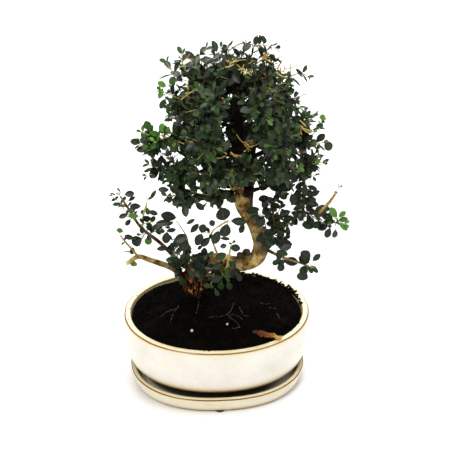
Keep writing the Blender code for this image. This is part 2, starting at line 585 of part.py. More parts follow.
def bark_chip():
    """A flake of bark, lying front right: one end in the soil, the other over the pot's rim."""
    start = Vector((0.385 * INNER_HALF_LENGTH, -0.565 * INNER_HALF_WIDTH, 0.0))
    heading = Vector((math.cos(CHIP_HEADING), math.sin(CHIP_HEADING), 0.0))
    run = 0.0
    while math.hypot((start.x + heading.x * run) / INNER_HALF_LENGTH,
                     (start.y + heading.y * run) / INNER_HALF_WIDTH) < 1.0:
        run += 0.0005
    start.z = soil_height(start.x, start.y) + 0.30 * CHIP_THICKNESS
    rest = start + heading * run
    rest.z = POT_RIM + TOUCH_GAP + 0.55 * CHIP_THICKNESS
    forward = (rest - start).normalized()
    sideways = forward.cross(Vector((0.0, 0.0, 1.0))).normalized()
    upward = sideways.cross(forward)
    for target, grow in ((plant, 0.0), (tools, TOUCH_GAP)):
        rings = []
        for index in range(9):
            share = index / 8.0
            middle = start + forward * (share * (CHIP_LENGTH + 2 * grow) - grow)
            belly = 0.55 + 0.45 * math.sin(math.pi * (0.15 + 0.7 * share))
            wide = CHIP_WIDTH * belly * (1.0 + 0.10 * math.sin(9.0 * share)) / 2 + grow
            thick = CHIP_THICKNESS * belly / 2 + grow
            ring = []
            for corner in range(10):
                turn = 2.0 * math.pi * corner / 10
                ring.append(middle + sideways * wide * math.cos(turn)
                            + upward * thick * math.sin(turn))
            rings.append(ring)
        if target is plant:
            new_object("bark_chip", loft(rings), plant, dark_bark)
        else:
            boolean(soil, "DIFFERENCE", cutter("bark_chip_bed", loft(rings)))


bark_chip()

# Each rootlet: name, then shares of the inner half length, and shares of the way from the middle of
# the pot (0) to its front (-1). What counts as the middle moves with the foot of the trunk.
ROOTLETS = [
    ("surface_rootlet_middle", [(0.21, 0.17), (0.17, -0.02), (0.12, -0.12), (0.15, -0.19),
                                (0.21, -0.30), (0.25, -0.44)]),
    ("surface_rootlet_left", [(-0.20, 0.32), (-0.215, 0.12), (-0.24, -0.05)]),
    ("surface_rootlet_far", [(-0.44, 0.16), (-0.50, 0.03), (-0.53, -0.12)]),
]
rootlet_start = TRUNK_Y - ROOTLET_FROM_TRUNK * THICKER
rootlet_reach = (rootlet_start + INNER_HALF_WIDTH) / (1.0 + ROOTLET_FIRST_SHARE)
for name, shares in ROOTLETS:
    route = []
    for share_x, share_y in shares:
        x = share_x * INNER_HALF_LENGTH
        y = -INNER_HALF_WIDTH + (share_y + 1.0) * rootlet_reach
        route.append((x, y, soil_height(x, y) + 0.0001))
    radii = [ROOTLET_RADIUS * (1.0 - 0.35 * index / (len(route) - 1)) for index in range(len(route))]
    room = tube(name + "_bed", route, radii, 1, 0.010, tools, TOUCH_GAP)
    boolean(soil, "DIFFERENCE", room)
    tube(name, route, radii, 1, 0.010, plant, 0.0, dried_root)


# ---- leaves -------------------------------------------------------------------------------------
def support(half, direction):
    """How far an ellipsoid reaches from its middle along a direction."""
    return math.sqrt(sum((size * part) ** 2 for size, part in zip(half, direction)))


def cut_flat(bm, point, normal):
    """Slice a body with a plane, drop the side that the normal points to and close the cut."""
    everything = list(bm.verts) + list(bm.edges) + list(bm.faces)
    bmesh.ops.bisect_plane(bm, geom=everything, dist=1e-7, plane_co=point, plane_no=normal,
                           clear_outer=True)
    rim = [edge for edge in bm.edges if edge.is_boundary]
    if rim:
        bmesh.ops.holes_fill(bm, edges=rim, sides=0)


def build_tufts():
    """Every tuft is a lump of leaves, cut flat where it meets the next one."""
    tufts = []
    for name, centre, half in CROWN_TUFTS + TWIG_TUFTS:
        size = Vector(half) * STRETCH
        tufts.append(("leaves_" + name, on_tree(centre), size, name in YOUNG_TUFTS))
    for name, middle, size, young in tufts:
        bm = bmesh.new()
        place = Matrix.Translation(middle) @ Matrix.Diagonal((*size, 1.0))
        bmesh.ops.create_icosphere(bm, subdivisions=2, radius=1.0, matrix=place)
        for other, other_middle, other_size, _ in tufts:
            if other == name:
                continue
            between = other_middle - middle
            distance = between.length
            direction = between / distance
            own = support(size, direction)
            others = support(other_size, direction)
            if own + others + LEAF_GAP > distance:
                share = own / (own + others)
                flat = middle + direction * (distance * share - LEAF_GAP / 2)
                cut_flat(bm, flat, direction)
        tuft = new_object(name, bm, plant, young_leaf if young else olive_leaf, 180.0)
        boolean(tuft, "DIFFERENCE", wood_room)


build_tufts()


# ---- origin on the ground under the middle of the whole plant -----------------------------------
def centre_on_ground():
    """Parent everything to one empty and shift it, so the box's bottom centre is the origin."""
    bpy.context.view_layer.update()
    corners = [piece.matrix_world @ Vector(corner)
               for piece in plant.objects for corner in piece.bound_box]
    low = Vector([min(corner[axis] for corner in corners) for axis in range(3)])
    high = Vector([max(corner[axis] for corner in corners) for axis in range(3)])
    stand = bpy.data.objects.new("plant_stand", None)
    plant.objects.link(stand)
    for piece in plant.objects:
        if piece is not stand:
            piece.parent = stand
    stand.location = (-(low.x + high.x) / 2, -(low.y + high.y) / 2, -low.z)
    bpy.context.view_layer.update()
    print("plant", [round(value, 4) for value in high - low], "shift",
          [round(value, 4) for value in stand.location])


centre_on_ground()
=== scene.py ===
# %% [markdown]
# # A small-leaved olive bonsai in an ivory glazed pot
#
# The plant is an old stump that was cut low and grew on in one long bend. It carries a dense crown
# of small leathery leaves. It stands in an oval pot with a drip saucer under it. The CAD frame
# holds every piece as a plain solid, so this script builds the looks around it: thrown and glazed
# clay, crumbly soil, bark, and each leaf as a thin body of its own.

# %% Load the frame
import math
import random

import bmesh
import bpy
from mathutils import Matrix, Vector, kdtree, noise


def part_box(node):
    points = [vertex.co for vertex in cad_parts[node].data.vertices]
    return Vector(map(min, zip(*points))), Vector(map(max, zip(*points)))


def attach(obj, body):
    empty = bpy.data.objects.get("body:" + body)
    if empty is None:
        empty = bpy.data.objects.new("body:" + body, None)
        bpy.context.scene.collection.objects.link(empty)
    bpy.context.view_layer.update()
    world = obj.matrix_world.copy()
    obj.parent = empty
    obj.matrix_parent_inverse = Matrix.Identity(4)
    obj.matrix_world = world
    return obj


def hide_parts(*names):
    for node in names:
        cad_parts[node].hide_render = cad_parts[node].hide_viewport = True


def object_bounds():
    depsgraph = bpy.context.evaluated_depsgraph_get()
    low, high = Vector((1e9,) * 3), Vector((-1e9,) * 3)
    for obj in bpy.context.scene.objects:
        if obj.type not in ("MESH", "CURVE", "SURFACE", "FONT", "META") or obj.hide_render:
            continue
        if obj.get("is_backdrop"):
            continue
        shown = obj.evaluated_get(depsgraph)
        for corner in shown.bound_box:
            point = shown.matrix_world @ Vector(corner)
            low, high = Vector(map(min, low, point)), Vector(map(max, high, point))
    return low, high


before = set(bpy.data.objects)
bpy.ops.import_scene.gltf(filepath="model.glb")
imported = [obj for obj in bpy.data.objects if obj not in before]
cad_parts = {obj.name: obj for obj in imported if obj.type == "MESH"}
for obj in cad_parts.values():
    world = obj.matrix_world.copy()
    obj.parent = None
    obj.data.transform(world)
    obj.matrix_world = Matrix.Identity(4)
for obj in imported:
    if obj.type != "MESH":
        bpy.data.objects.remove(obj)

CAD_LOW, CAD_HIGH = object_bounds()
MM = 0.001
CM = 0.01
print("frame", len(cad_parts), "nodes, size", [round(v, 4) for v in CAD_HIGH - CAD_LOW])

# %% [markdown]
# ## Where things are
#
# Everything is placed from the CAD boxes. The pot and the saucer are ovals, so their boxes give
# their middles and half sizes. The tree is drawn from the foot of its trunk, which stands towards
# the back left of the pot. A point of the tree is then three centimetre numbers from that foot.

# %% Measure the frame
pot_low, pot_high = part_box("pot")
saucer_low, saucer_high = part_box("saucer")
POT_MIDDLE = Vector(((pot_low.x + pot_high.x) / 2, (pot_low.y + pot_high.y) / 2, 0.0))
SAUCER_MIDDLE = Vector(((saucer_low.x + saucer_high.x) / 2, (saucer_low.y + saucer_high.y) / 2, 0.0))
BULGE = 1.8 * MM                     # the wall swells this far outside the rim
RIM_HALF_LENGTH = (pot_high.x - pot_low.x) / 2 - BULGE
RIM_HALF_WIDTH = (pot_high.y - pot_low.y) / 2 - BULGE
RIM_HEIGHT = pot_high.z
RIM_WIDTH = 9.5 * MM
BODY_HEIGHT = 71.5 * MM
UNDERSIDE = RIM_HEIGHT - BODY_HEIGHT
INNER_HALF_LENGTH = RIM_HALF_LENGTH - RIM_WIDTH
INNER_HALF_WIDTH = RIM_HALF_WIDTH - RIM_WIDTH
print("pot middle", [round(v, 4) for v in POT_MIDDLE], "rim height", round(RIM_HEIGHT, 4))


def soil_height(x, y):
    """Height of the soil at a point given from the pot's middle: mounded, higher towards both ends."""
    along = x / INNER_HALF_LENGTH
    out = min(1.0, math.hypot(along, y / INNER_HALF_WIDTH))
    uneven = 1.1 * MM * noise.noise(Vector((x * 38.0, y * 38.0, 0.4)))
    return (RIM_HEIGHT - 7 * MM + 3.5 * MM * along + 4 * MM * min(0.0, along) ** 2
            + 5 * MM * (1 - out * out) + uneven)


foot_x, foot_y = -29 * MM, INNER_HALF_WIDTH - 36 * MM
TRUNK_FOOT = POT_MIDDLE + Vector((foot_x, foot_y, soil_height(foot_x, foot_y)))


def on_tree(point):
    """A point of the tree in metres, from centimetres off the foot of the trunk."""
    return TRUNK_FOOT + Vector(point) * CM


print("trunk foot", [round(v, 4) for v in TRUNK_FOOT])

# %% [markdown]
# ## Camera, floor and light
#
# A product picture of a plant is taken from a little above, so that the soil shows, with a long
# lens that keeps the pot's oval calm. The light is a big soft box over the left shoulder, a wide
# weak one on the right, and a pale room all round. Big soft lights suit wax and glaze, because
# they give broad sheens and no hard sparks.

# %% Camera
CAMERA_TURN = math.radians(-2.8)
CAMERA_RISE = math.radians(32.54)
CAMERA_DISTANCE = 1.4
VIEW_ANGLE = math.radians(23.374)
LOOK_AT = POT_MIDDLE + Vector((11.2 * MM, -0.5 * MM, 233.8 * MM))
back = Vector((math.sin(CAMERA_TURN) * math.cos(CAMERA_RISE),
               -math.cos(CAMERA_TURN) * math.cos(CAMERA_RISE), math.sin(CAMERA_RISE)))
camera = bpy.data.objects.new("camera", bpy.data.cameras.new("camera"))
camera.data.sensor_width = 36.0
camera.data.lens = camera.data.sensor_width / 2 / math.tan(VIEW_ANGLE / 2)
camera.location = LOOK_AT + back * CAMERA_DISTANCE
camera.rotation_mode = "QUATERNION"
camera.rotation_quaternion = (-back).to_track_quat("-Z", "Y")
bpy.context.scene.collection.objects.link(camera)
bpy.context.scene.camera = camera
bpy.context.scene.view_settings.view_transform = "Standard"
print("camera", [round(v, 3) for v in camera.location], "lens", round(camera.data.lens, 1), "mm")


# %% Helpers for shaders
def linear(hex_colour):
    """An sRGB hex colour such as #8a5a2b as the linear numbers that Blender shades with."""
    values = [int(hex_colour[i:i + 2], 16) / 255.0 for i in (1, 3, 5)]
    return (*[v / 12.92 if v <= 0.04045 else ((v + 0.055) / 1.055) ** 2.4 for v in values], 1.0)


def add(tree, kind, inputs=None, stops=None, **settings):
    """Add a node. An input is a plain value or another node's output, stops are a ramp's colours."""
    node = tree.nodes.new(kind)
    for name, value in settings.items():
        setattr(node, name, value)
    for key, value in (inputs or {}).items():
        if isinstance(value, bpy.types.NodeSocket):
            tree.links.new(value, node.inputs[key])
        else:
            node.inputs[key].default_value = value
    for index, (place, colour) in enumerate(stops or []):
        ramp = node.color_ramp.elements
        stop = ramp[index] if index < 2 else ramp.new(place)
        stop.position = place
        stop.color = linear(colour)
    return node


def start_finish(name, **plain):
    """A new material and its Principled shader, with plain numbers set on the shader's own sockets."""
    finish = bpy.data.materials.new(name)
    finish.use_nodes = True
    shader = finish.node_tree.nodes["Principled BSDF"]
    for socket, value in plain.items():
        shader.inputs[socket.replace("_", " ")].default_value = value
    return finish, finish.node_tree, shader


MIX_A, MIX_B, MIX_OUT = 6, 7, 2       # a colour Mix node's sockets
print("mid grey #808080 shades as", round(linear("#808080")[0], 3))

# %% Floor
FLOOR_HALF = 4.0                     # metres from the middle of the floor to each side

paper, tree, shader = start_finish("white_card", Roughness=0.9)
place = add(tree, "ShaderNodeTexCoord")
grain = add(tree, "ShaderNodeTexNoise", {"Vector": place.outputs["Object"], "Scale": 3.0, "Detail": 4.0})
tint = add(tree, "ShaderNodeValToRGB", {"Fac": grain.outputs["Fac"]},
           stops=[(0.3, "#f8f8f7"), (0.7, "#fbfbfa")])
tree.links.new(tint.outputs["Color"], shader.inputs["Base Color"])

bm = bmesh.new()
bmesh.ops.create_grid(bm, x_segments=4, y_segments=4, size=FLOOR_HALF)
floor_mesh = bpy.data.meshes.new("floor")
bm.to_mesh(floor_mesh)
bm.free()
floor_mesh.materials.append(paper)
floor = bpy.data.objects.new("floor", floor_mesh)
bpy.context.scene.collection.objects.link(floor)
floor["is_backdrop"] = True


# %% Lights
def soft_box(name, place, size, watts, look_at=(0.0, 0.0, 0.2)):
    """A square area light that looks at the middle of the plant, or at another point."""
    lamp = bpy.data.objects.new(name, bpy.data.lights.new(name, "AREA"))
    lamp.data.size = size
    lamp.data.energy = watts
    lamp.location = place
    lamp.rotation_mode = "QUATERNION"
    aim = Vector(look_at) - Vector(place)
    lamp.rotation_quaternion = aim.to_track_quat("-Z", "Y")
    bpy.context.scene.collection.objects.link(lamp)


soft_box("key_light", (-0.9, -1.2, 1.8), 0.8, 26.0)
soft_box("fill_light", (0.9, -0.6, 1.4), 1.0, 9.0)
soft_box("top_light", (0.2, 0.4, 1.9), 0.9, 15.0)
soft_box("backdrop_light", (0.0, 1.9, 1.5), 1.6, 34.0, (0.0, 1.3, 0.0))
room = bpy.data.worlds.new("pale_room")
room.use_nodes = True
room.node_tree.nodes["Background"].inputs["Color"].default_value = linear("#fbfcff")
room.node_tree.nodes["Background"].inputs["Strength"].default_value = 0.36
bpy.context.scene.world = room


# %% [markdown]
# ## Helpers for shapes
#
# Most of the plant is many small closed bodies: leaves, twigs, crumbs. Making an object for each
# would be slow, so a heap collects their points and faces and becomes one mesh. A body can carry
# marks, such as how old a twig is, and the shader reads a mark back through an Attribute node.

# %% Heap of small bodies
class Heap:
    """Points and faces of many closed bodies, collected into one mesh."""

    def __init__(self):
        self.points = []
        self.faces = []
        self.slots = []
        self.marks = {}

    def put(self, points, faces, slots=None, **marks):
        """Add one body. A mark is one number for the body, or a list with one for each point."""
        start = len(self.points)
        self.points.extend(points)
        self.faces.extend([tuple(start + index for index in face) for face in faces])
        self.slots.extend(slots or [0] * len(faces))
        for name, value in marks.items():
            values = value if isinstance(value, list) else [value] * len(points)
            self.marks.setdefault(name, []).extend(values)


def make_piece(name, heap, finishes, stands_for=(), sharp=40.0):
    """Turn a heap into an object that rides on the plant and stands for its CAD nodes."""
    mesh = bpy.data.meshes.new(name)
    mesh.from_pydata([tuple(point) for point in heap.points], [], heap.faces)
    mesh.polygons.foreach_set("material_index", heap.slots)
    for mark, values in heap.marks.items():
        layer = mesh.attributes.new(mark, "FLOAT", "POINT")
        layer.data.foreach_set("value", values)
    for finish in finishes:
        mesh.materials.append(finish)
    bm = bmesh.new()
    bm.from_mesh(mesh)
    bmesh.ops.recalc_face_normals(bm, faces=bm.faces)
    bm.to_mesh(mesh)
    bm.free()
    mesh.shade_smooth()
    mesh.set_sharp_from_angle(angle=math.radians(sharp))
    made = bpy.data.objects.new(name, mesh)
    bpy.context.scene.collection.objects.link(made)
    settle(made, stands_for)
    return made


def settle(made, stands_for=()):
    """Say which body a piece rides on, and hide the CAD nodes it stands for."""
    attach(made, "root")
    if stands_for:
        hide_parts(*stands_for)
    print(f"{made.name}: {len(made.data.polygons)} faces, {[round(v * 1000) for v in made.dimensions]} mm")


# %% Routes and tubes
def smooth_route(points, step):
    """A Catmull-Rom curve through given points, as (place between the points, point) pairs."""
    route = [Vector(point) for point in points]
    ends = [2 * route[0] - route[1]] + route + [2 * route[-1] - route[-2]]
    read = []
    for index in range(1, len(ends) - 2):
        before, start, stop, after = ends[index - 1:index + 3]
        pieces = max(1, round((stop - start).length / step))
        for part in range(pieces):
            t = part / pieces
            read.append((index - 1 + t, 0.5 * (2 * start + (stop - before) * t
                        + (2 * before - 5 * start + 4 * stop - after) * t * t
                        + (3 * start - before - 3 * stop + after) * t ** 3)))
    read.append((len(route) - 1.0, route[-1]))
    return read


def share_of(values, place):
    """Read a list of numbers at a place between its entries."""
    low = min(int(place), len(values) - 2)
    return values[low] + (values[low + 1] - values[low]) * (place - low)


def ring_faces(rows, sides):
    """Faces of a closed body made of rings: quads from ring to ring, then a cap at each end."""
    faces = []
    for row in range(rows - 1):
        for corner in range(sides):
            after = (corner + 1) % sides
            faces.append((row * sides + corner, row * sides + after,
                          (row + 1) * sides + after, (row + 1) * sides + corner))
    faces.append(tuple(reversed(range(sides))))
    faces.append(tuple((rows - 1) * sides + corner for corner in range(sides)))
    return faces


def put_tube(heap, points, radii, sides=6, step=0.006, knots=0.0, seed=0.0, **marks):
    """Sweep a round section along a route into the heap. Knots make it swell unevenly."""
    read = smooth_route(points, step)
    across = None
    rings = []
    for index, (place, middle) in enumerate(read):
        ahead = read[min(index + 1, len(read) - 1)][1]
        behind = read[max(index - 1, 0)][1]
        along = (ahead - behind).normalized()
        if across is None:
            across = along.orthogonal().normalized()
        across = (across - along * across.dot(along)).normalized()
        side = along.cross(across)
        radius = share_of(radii, place)
        ring = []
        for corner in range(sides):
            turn = 2 * math.pi * corner / sides
            way = across * math.cos(turn) + side * math.sin(turn)
            rough = 1.0 + knots * noise.noise((middle + way * radius) * 260.0 + Vector((seed, 0, 0)))
            ring.append(middle + way * radius * rough)
        rings.append(ring)
    spread = {}
    for name, value in marks.items():
        if isinstance(value, tuple):
            first, last = value
            values = [first + (last - first) * i / (len(rings) - 1) for i in range(len(rings))]
            spread[name] = [v for v in values for _ in range(sides)]
        else:
            spread[name] = value
    heap.put([point for ring in rings for point in ring], ring_faces(len(rings), sides), **spread)


def put_lump(heap, middle, size, rough, seed, level=1, turn=None):
    """A rough crumb or grain: a ball with these half sizes, dented by noise."""
    bm = bmesh.new()
    bmesh.ops.create_icosphere(bm, subdivisions=level, radius=1.0)
    shape = Matrix.Diagonal(Vector(size))
    points = []
    for vert in bm.verts:
        dent = 1.0 + rough * noise.noise(vert.co * 1.7 + Vector((seed * 3.1, seed * 1.7, seed)))
        point = shape @ (vert.co * dent)
        if turn is not None:
            point = turn @ point
        points.append(Vector(middle) + point)
    faces = [tuple(vert.index for vert in face.verts) for face in bm.faces]
    bm.free()
    heap.put(points, faces)


# %% [markdown]
# ## Ivory glaze
#
# The pot is stoneware, dipped in a thick ivory glaze and fired. A glaze runs off sharp edges, and
# where it lies thin the iron in the clay shows through as an ochre-brown line with a yellow
# halo. Potters call this breaking. Each lofted ring knows how far it lies from such an edge along
# the clay, so the shader reads those distances in millimetres. A fired glaze is glass: IOR 1.5,
# smooth, and faintly uneven.

# %% Glaze material
# Painted shadow: the saucer's floor is painted dark under the pot, where the pot shades it. The painted
# shadow fades to the right, from here to here.
SHADOW_FADE_FROM = POT_MIDDLE.x + 60 * MM
SHADOW_FADE_TO = POT_MIDDLE.x + 105 * MM


def make_glaze(name, body_light, body_dark, halo, line_colour):
    """Ivory glaze that breaks brown at the rim line, the inner lip and the foot, with a painted shadow on
    the floor under the pot.
    """
    finish, tree, shader = start_finish(name, IOR=1.5, Coat_Weight=0.35, Coat_Roughness=0.06)
    place = add(tree, "ShaderNodeTexCoord").outputs["Object"]
    waver = add(tree, "ShaderNodeTexNoise", {"Vector": place, "Scale": 55.0, "Detail": 3.0})
    wander = add(tree, "ShaderNodeMapRange",
                 {"Value": waver.outputs["Fac"], "To Min": -0.55, "To Max": 0.55})
    cloud = add(tree, "ShaderNodeTexNoise",
                {"Vector": place, "Scale": 22.0, "Detail": 6.0, "Roughness": 0.6})
    colour = add(tree, "ShaderNodeValToRGB", {"Fac": cloud.outputs["Fac"]},
                 stops=[(0.32, body_dark), (0.62, body_light)]).outputs["Color"]

    # Faint ochre stains where the glaze is a little thin, about 2 cm across.
    blotch = add(tree, "ShaderNodeTexNoise",
                 {"Vector": place, "Scale": 42.0, "Detail": 2.0, "Distortion": 0.8})
    stained = add(tree, "ShaderNodeMapRange", {"Value": blotch.outputs["Fac"], "From Min": 0.66,
                                               "From Max": 0.80, "To Max": 0.40})
    colour = add(tree, "ShaderNodeMix", {0: stained.outputs["Result"], MIX_A: colour,
                                         MIX_B: linear("#dccb98")}, data_type="RGBA").outputs[MIX_OUT]

    def near(attribute, reach_low, reach_high, strength):
        """1 on an edge and 0 beyond, from the distance mark in millimetres."""
        mark = add(tree, "ShaderNodeAttribute", attribute_name=attribute)
        moved = add(tree, "ShaderNodeMath", {0: mark.outputs["Fac"], 1: wander.outputs["Result"]},
                    operation="ADD")
        size = add(tree, "ShaderNodeMath", {0: moved.outputs[0]}, operation="ABSOLUTE")
        return add(tree, "ShaderNodeMapRange", {"Value": size.outputs[0], "From Min": reach_low,
                   "From Max": reach_high, "To Min": strength, "To Max": 0.0},
                   interpolation_type="SMOOTHSTEP").outputs["Result"]

    floor_mark = add(tree, "ShaderNodeAttribute", attribute_name="floor_mm").outputs["Fac"]
    foot_mark = add(tree, "ShaderNodeAttribute", attribute_name="foot_mm").outputs["Fac"]
    # Painted shadow under the pot: the saucer's floor is painted darker the farther it lies in from the
    # wall, less so on the right.
    painted_shadow = add(tree, "ShaderNodeMapRange", {"Value": floor_mark, "From Min": 5.0, "From Max": 13.0,
                                            "To Max": 0.93}, interpolation_type="SMOOTHSTEP")
    across = add(tree, "ShaderNodeSeparateXYZ", {"Vector": place}).outputs["X"]
    shadow_fade = add(tree, "ShaderNodeMapRange", {"Value": across, "From Min": SHADOW_FADE_FROM,
                                                "From Max": SHADOW_FADE_TO, "To Min": 1.0,
                                                "To Max": 0.15}, interpolation_type="SMOOTHSTEP")
    painted_shadow = add(tree, "ShaderNodeMath", {0: painted_shadow.outputs["Result"], 1: shadow_fade.outputs["Result"]},
               operation="MULTIPLY")
    bare = add(tree, "ShaderNodeMapRange", {"Value": foot_mark, "From Min": -3.0, "From Max": -0.6,
                                            "To Min": 0.97, "To Max": 0.0})
    for share, shade in ((near("foot_mm", 4.0, 14.0, 0.65), "#ecd9a4"),
                         (near("foot_mm", 2.0, 8.0, 0.85), "#b98840"),
                         (near("foot_mm", 0.8, 3.6, 0.95), "#4f2c10"),
                         (near("line_mm", 1.5, halo, 0.85), "#ecd9a0"),
                         (near("lip_mm", 1.5, 9.0, 0.85), "#dcc78c"),
                         (near("lip_mm", 0.6, 1.6, 0.85), "#5c3d1a"),
                         (near("line_mm", 0.7, 1.35, 0.95), line_colour),
                         # painted shadow under the pot
                         (painted_shadow.outputs[0], "#1c120a"),
                         (bare.outputs["Result"], "#20140b")):
        colour = add(tree, "ShaderNodeMix", {0: share, MIX_A: colour, MIX_B: linear(shade)},
                     data_type="RGBA").outputs[MIX_OUT]

    # Iron specks: one cell in a few holds a dot half a millimetre wide.
    cells = add(tree, "ShaderNodeTexVoronoi", {"Vector": place, "Scale": 95.0})
    dot = add(tree, "ShaderNodeMapRange", {"Value": cells.outputs["Distance"], "From Min": 0.04,
                                           "From Max": 0.085, "To Min": 1.0, "To Max": 0.0})
    pick = add(tree, "ShaderNodeSeparateColor", {"Color": cells.outputs["Color"]})
    some = add(tree, "ShaderNodeMath", {0: pick.outputs["Red"], 1: 0.86}, operation="GREATER_THAN")
    speck = add(tree, "ShaderNodeMath", {0: dot.outputs["Result"], 1: some.outputs[0]},
                operation="MULTIPLY")
    colour = add(tree, "ShaderNodeMix", {0: speck.outputs[0], MIX_A: colour, MIX_B: linear("#7d6a4c")},
                 data_type="RGBA").outputs[MIX_OUT]
    tree.links.new(colour, shader.inputs["Base Color"])

    gloss = add(tree, "ShaderNodeMapRange",
                {"Value": cloud.outputs["Fac"], "To Min": 0.14, "To Max": 0.30})
    tree.links.new(gloss.outputs["Result"], shader.inputs["Roughness"])
    ripple = add(tree, "ShaderNodeTexNoise", {"Vector": place, "Scale": 130.0, "Detail": 2.0})
    relief = add(tree, "ShaderNodeBump",
                 {"Height": ripple.outputs["Fac"], "Strength": 0.10, "Distance": 0.0006})
    tree.links.new(relief.outputs["Normal"], shader.inputs["Normal"])
    return finish


# The halo is in millimetres from the brown line.
ivory_glaze = make_glaze("ivory_glaze_on_stoneware", "#f0ebde", "#e6dfcf", 5.5, "#7d5218")
saucer_glaze = make_glaze("ivory_glaze_on_saucer", "#e8e2d2", "#dcd4bf", 9.0, "#5a3816")
print("glazes", ivory_glaze.name, "and", saucer_glaze.name)


# %% [markdown]
# ## The pot
#
# An oval pot like this is pressed in a mould, so its wall is one profile carried round an oval. A
# loft does the same: each point of the profile becomes a ring. The CAD pot has few points, so here
# the profile is drawn finer, with a rolled edge and a slight handmade waver. The four feet and the
# two drain holes are joined and cut with Booleans, as they are in the clay.

# %% Oval loft
POT_POWER = 2.06                     # 2 is an ellipse, more is squarer
SAUCER_POWER = 2.22
ROUND_COUNT = 220
WAVER = 0.25 * MM                    # how far a hand-pressed wall strays from its oval


def oval_point(middle, half_length, half_width, height, turn, power=POT_POWER):
    """A point on an oval that is a little squarer than an ellipse."""
    across = math.copysign(abs(math.cos(turn)) ** (2.0 / power), math.cos(turn))
    along = math.copysign(abs(math.sin(turn)) ** (2.0 / power), math.sin(turn))
    return Vector((middle.x + across * half_length, middle.y + along * half_width, height))


def put_vessel(heap, middle, half_length, half_width, profile, edges, power):
    """Loft a dish from (inset, height) pairs. edges names each mark and the profile point it starts at."""
    read = smooth_route([(inset, 0.0, height) for inset, height in profile], 1.1 * MM)
    lengths = [0.0]
    for (_, last), (_, point) in zip(read, read[1:]):
        lengths.append(lengths[-1] + (point - last).length / MM)
    starts = {name: lengths[min(range(len(read)), key=lambda i: abs(read[i][0] - at))]
              for name, at in edges.items()}
    points = []
    for _, point in read:
        for corner in range(ROUND_COUNT):
            turn = 2 * math.pi * (corner + 0.5) / ROUND_COUNT
            wave = Vector((math.cos(turn) * 2.1, math.sin(turn) * 2.1, point.z * 25.0))
            uneven = WAVER * noise.noise(wave)
            points.append(oval_point(middle, half_length - point.x + uneven,
                                     half_width - point.x + uneven, point.z, turn, power))
    marks = {name: [length - start for length in lengths for _ in range(ROUND_COUNT)]
             for name, start in starts.items()}
    heap.put(points, ring_faces(len(read), ROUND_COUNT), **marks)


# %% Pot body
POT_PROFILE = [
    (9.8 * MM, UNDERSIDE), (8.2 * MM, UNDERSIDE + 0.2 * MM), (6.9 * MM, UNDERSIDE + 1.2 * MM),
    (6.0 * MM, UNDERSIDE + 4.0 * MM), (3.4 * MM, UNDERSIDE + 0.16 * BODY_HEIGHT),
    (1.2 * MM, UNDERSIDE + 0.30 * BODY_HEIGHT), (-1.4 * MM, UNDERSIDE + 0.52 * BODY_HEIGHT),
    (-1.8 * MM, UNDERSIDE + 0.70 * BODY_HEIGHT), (-0.9 * MM, UNDERSIDE + 0.87 * BODY_HEIGHT),
    (-0.3 * MM, RIM_HEIGHT - 3.2 * MM), (0.1 * MM, RIM_HEIGHT - 1.5 * MM),
    (0.7 * MM, RIM_HEIGHT - 0.5 * MM), (1.8 * MM, RIM_HEIGHT - 0.1 * MM),
    (3.6 * MM, RIM_HEIGHT), (6.4 * MM, RIM_HEIGHT - 0.1 * MM), (8.1 * MM, RIM_HEIGHT - 0.4 * MM),
    (9.1 * MM, RIM_HEIGHT - 1.3 * MM), (9.6 * MM, RIM_HEIGHT - 3.0 * MM),
    (10.2 * MM, RIM_HEIGHT - 12 * MM), (11.6 * MM, RIM_HEIGHT - 0.55 * BODY_HEIGHT),
    (14.5 * MM, UNDERSIDE + 12 * MM), (18.0 * MM, UNDERSIDE + 8 * MM),
]
pot_heap = Heap()
put_vessel(pot_heap, POT_MIDDLE, RIM_HALF_LENGTH, RIM_HALF_WIDTH, POT_PROFILE,
           {"foot_mm": 2.0, "line_mm": 10.6, "lip_mm": 16.0, "floor_mm": 21.0}, POT_POWER)
pot = make_piece("glazed_pot", pot_heap, [ivory_glaze], ("pot",), sharp=60.0)


# %% Feet and drain holes
def post(radius_low, radius_high, low, high, x, y):
    """A tapered round post, used to add a foot or to cut a hole."""
    bm = bmesh.new()
    bmesh.ops.create_cone(bm, cap_ends=True, segments=40, radius1=radius_low, radius2=radius_high,
                          depth=high - low, matrix=Matrix.Translation((x, y, (low + high) / 2)))
    mesh = bpy.data.meshes.new("post")
    bm.to_mesh(mesh)
    bm.free()
    for mark, value in (("foot_mm", -10.0), ("line_mm", 50.0), ("lip_mm", 50.0), ("floor_mm", -10.0)):
        layer = mesh.attributes.new(mark, "FLOAT", "POINT")
        layer.data.foreach_set("value", [value] * len(mesh.vertices))
    made = bpy.data.objects.new("post", mesh)
    bpy.context.scene.collection.objects.link(made)
    return made


def join_or_cut(target, other, operation):
    """Apply one Boolean and remove the body that shaped it."""
    step = target.modifiers.new(operation, "BOOLEAN")
    step.operation = operation
    step.solver = "EXACT"
    step.object = other
    graph = bpy.context.evaluated_depsgraph_get()
    shaped = bpy.data.meshes.new_from_object(target.evaluated_get(graph))
    target.modifiers.remove(step)
    target.data = shaped
    bpy.data.objects.remove(other, do_unlink=True)


FOOT_X = 59.1 * MM
FOOT_Y = 32.8 * MM
FOOT_RADIUS_LOW, FOOT_RADIUS_HIGH = 11.5 * MM, 15 * MM
DRAIN_X = 45 * MM
DRAIN_RADIUS = 7 * MM
for side_x in (-1, 1):
    for side_y in (-1, 1):
        foot = post(FOOT_RADIUS_LOW, FOOT_RADIUS_HIGH, pot_low.z, UNDERSIDE + 4 * MM,
                    POT_MIDDLE.x + side_x * FOOT_X, POT_MIDDLE.y + side_y * FOOT_Y)
        join_or_cut(pot, foot, "UNION")
    drain = post(DRAIN_RADIUS, DRAIN_RADIUS, UNDERSIDE - 8 * MM, UNDERSIDE + 16 * MM,
                 POT_MIDDLE.x + side_x * DRAIN_X, POT_MIDDLE.y)
    join_or_cut(pot, drain, "DIFFERENCE")
print("pot with feet", len(pot.data.polygons), "faces")

